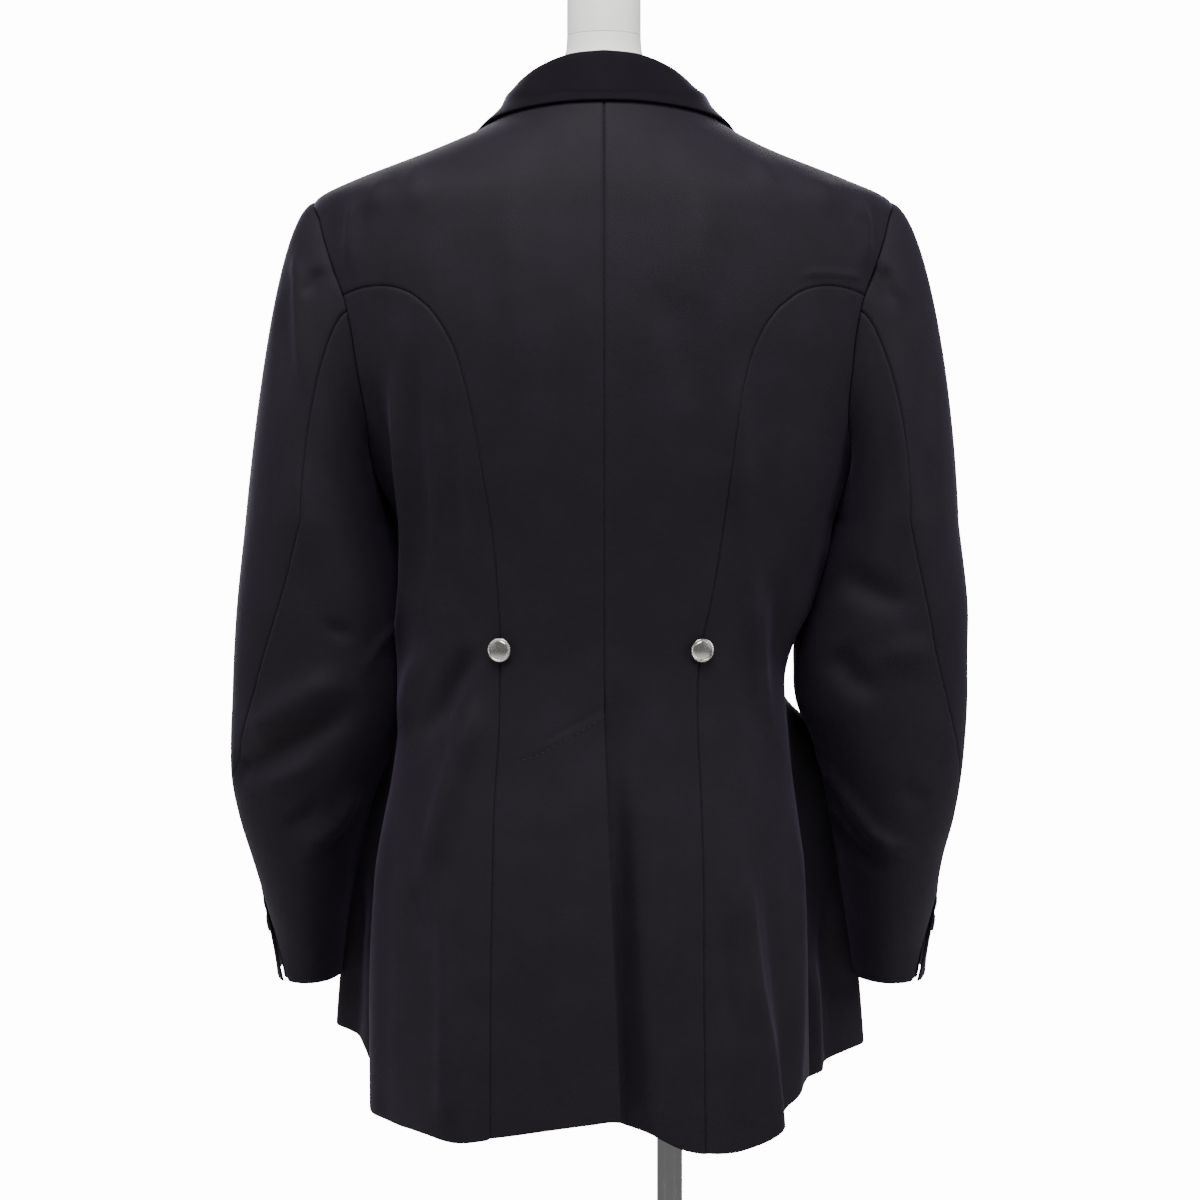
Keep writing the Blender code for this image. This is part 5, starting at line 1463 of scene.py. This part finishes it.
def addTurned(name, profile, steps, material, node, x):
    mesh = turnedMesh(name, profile, steps)
    mesh.transform(Matrix.Translation((x, 0, 0)))
    mesh.materials.append(material)
    return standFor(addObject(name, mesh), node)


torso = addObject("formTorso", formMesh())
torso.data.materials.append(jerseyCover)
standFor(torso, "form_torso")
addTurned("formNeck", neckProfile, form["columns"], jerseyCover, "form_neck", 0.0)
low, radius, top = stand["baseThickness"] + 0.0003, stand["poleRadius"], stand["poleTop"]
bevel = 0.0008
pole = [(0.0, top), (radius - bevel, top), (radius, top - bevel), (radius, low), (0.0, low)]
addTurned("standPole", pole, 64, chromeTube, "stand_pole", stand["poleX"])
plate = [
    (0.0, stand["baseThickness"]), (0.179, stand["baseThickness"]), (0.182, 0.0074), (0.1842, 0.0058),
    (stand["baseRadius"], 0.0036), (0.1848, 0.0008), (0.184, 0.0), (0.0, 0.0),
]
addTurned("standBase", plate, 160, satinPlate, "stand_base", 0.0)
for entry in bpy.data.objects["stand_socket"].material_slots:
    entry.material = chromeTube
print("form and stand made")

floorMesh = bpy.data.meshes.new("studioFloor")
reach, level = 2.4, -0.0005
floorMesh.from_pydata([
    (-reach, -reach, level), (reach, -reach, level), (reach, reach, level), (-reach, reach, level),
], [], [[0, 1, 2, 3]])
studioFloor = addObject("studioFloor", floorMesh)
paper, _, paperShader, _ = newMaterial("whitePaper")
setShader(paperShader, colour="#E9E8E6", roughness=0.9, specular=0.1)
floorMesh.materials.append(paper)

# Camera and light

cameraData = bpy.data.cameras.new("camera")
cameraData.lens, cameraData.sensor_width = 105, 36
camera = bpy.data.objects.new("camera", cameraData)
camera.location, camera.rotation_euler = (0.0029, 2.61, 1.06), (radians(90), 0, radians(180))
bpy.context.scene.collection.objects.link(camera)
bpy.context.scene.camera = camera


def addLight(name, place, target, size, power):
    data = bpy.data.lights.new(name, "AREA")
    data.shape, data.size, data.size_y, data.energy = "RECTANGLE", size[0], size[1], power
    made = bpy.data.objects.new(name, data)
    made.location = place
    made.rotation_euler = (Vector(target) - Vector(place)).to_track_quat("-Z", "Y").to_euler()
    bpy.context.scene.collection.objects.link(made)


addLight("topSoftbox", (0.1, 1.0, 2.7), (0, 0, 1.3), (1.2, 1.0), 60)
addLight("keySoftbox", (-2.2, 1.0, 1.9), (0, 0, 1.2), (0.6, 1.4), 30)
addLight("sideSoftbox", (2.4, 0.9, 1.9), (0, 0, 1.2), (0.6, 1.4), 22)
addLight("frontSoftbox", (0.2, -2.4, 1.9), (0, 0, 1.2), (3.0, 2.0), 100)
# The camera sees the overexposed white behind the jacket; the cloth gets its plain soft light.
world = bpy.data.worlds.new("studioWhite")
bpy.context.scene.world = world
world.use_nodes = True
tree, lit = world.node_tree, world.node_tree.nodes["Background"]
lit.inputs["Color"].default_value = (1, 1, 1, 1)
lit.inputs["Strength"].default_value = 0.18
seen = addNode(tree, "ShaderNodeBackground", None, {"Color": (1, 1, 1, 1), "Strength": 14.0})
cameraRay = addNode(tree, "ShaderNodeLightPath").outputs["Is Camera Ray"]
either = addNode(tree, "ShaderNodeMixShader", None, None, [
    (cameraRay, 0), (lit.outputs[0], 1), (seen.outputs[0], 2),
])
tree.links.new(either.outputs[0], tree.nodes["World Output"].inputs["Surface"])
print("stage, camera and lights set")
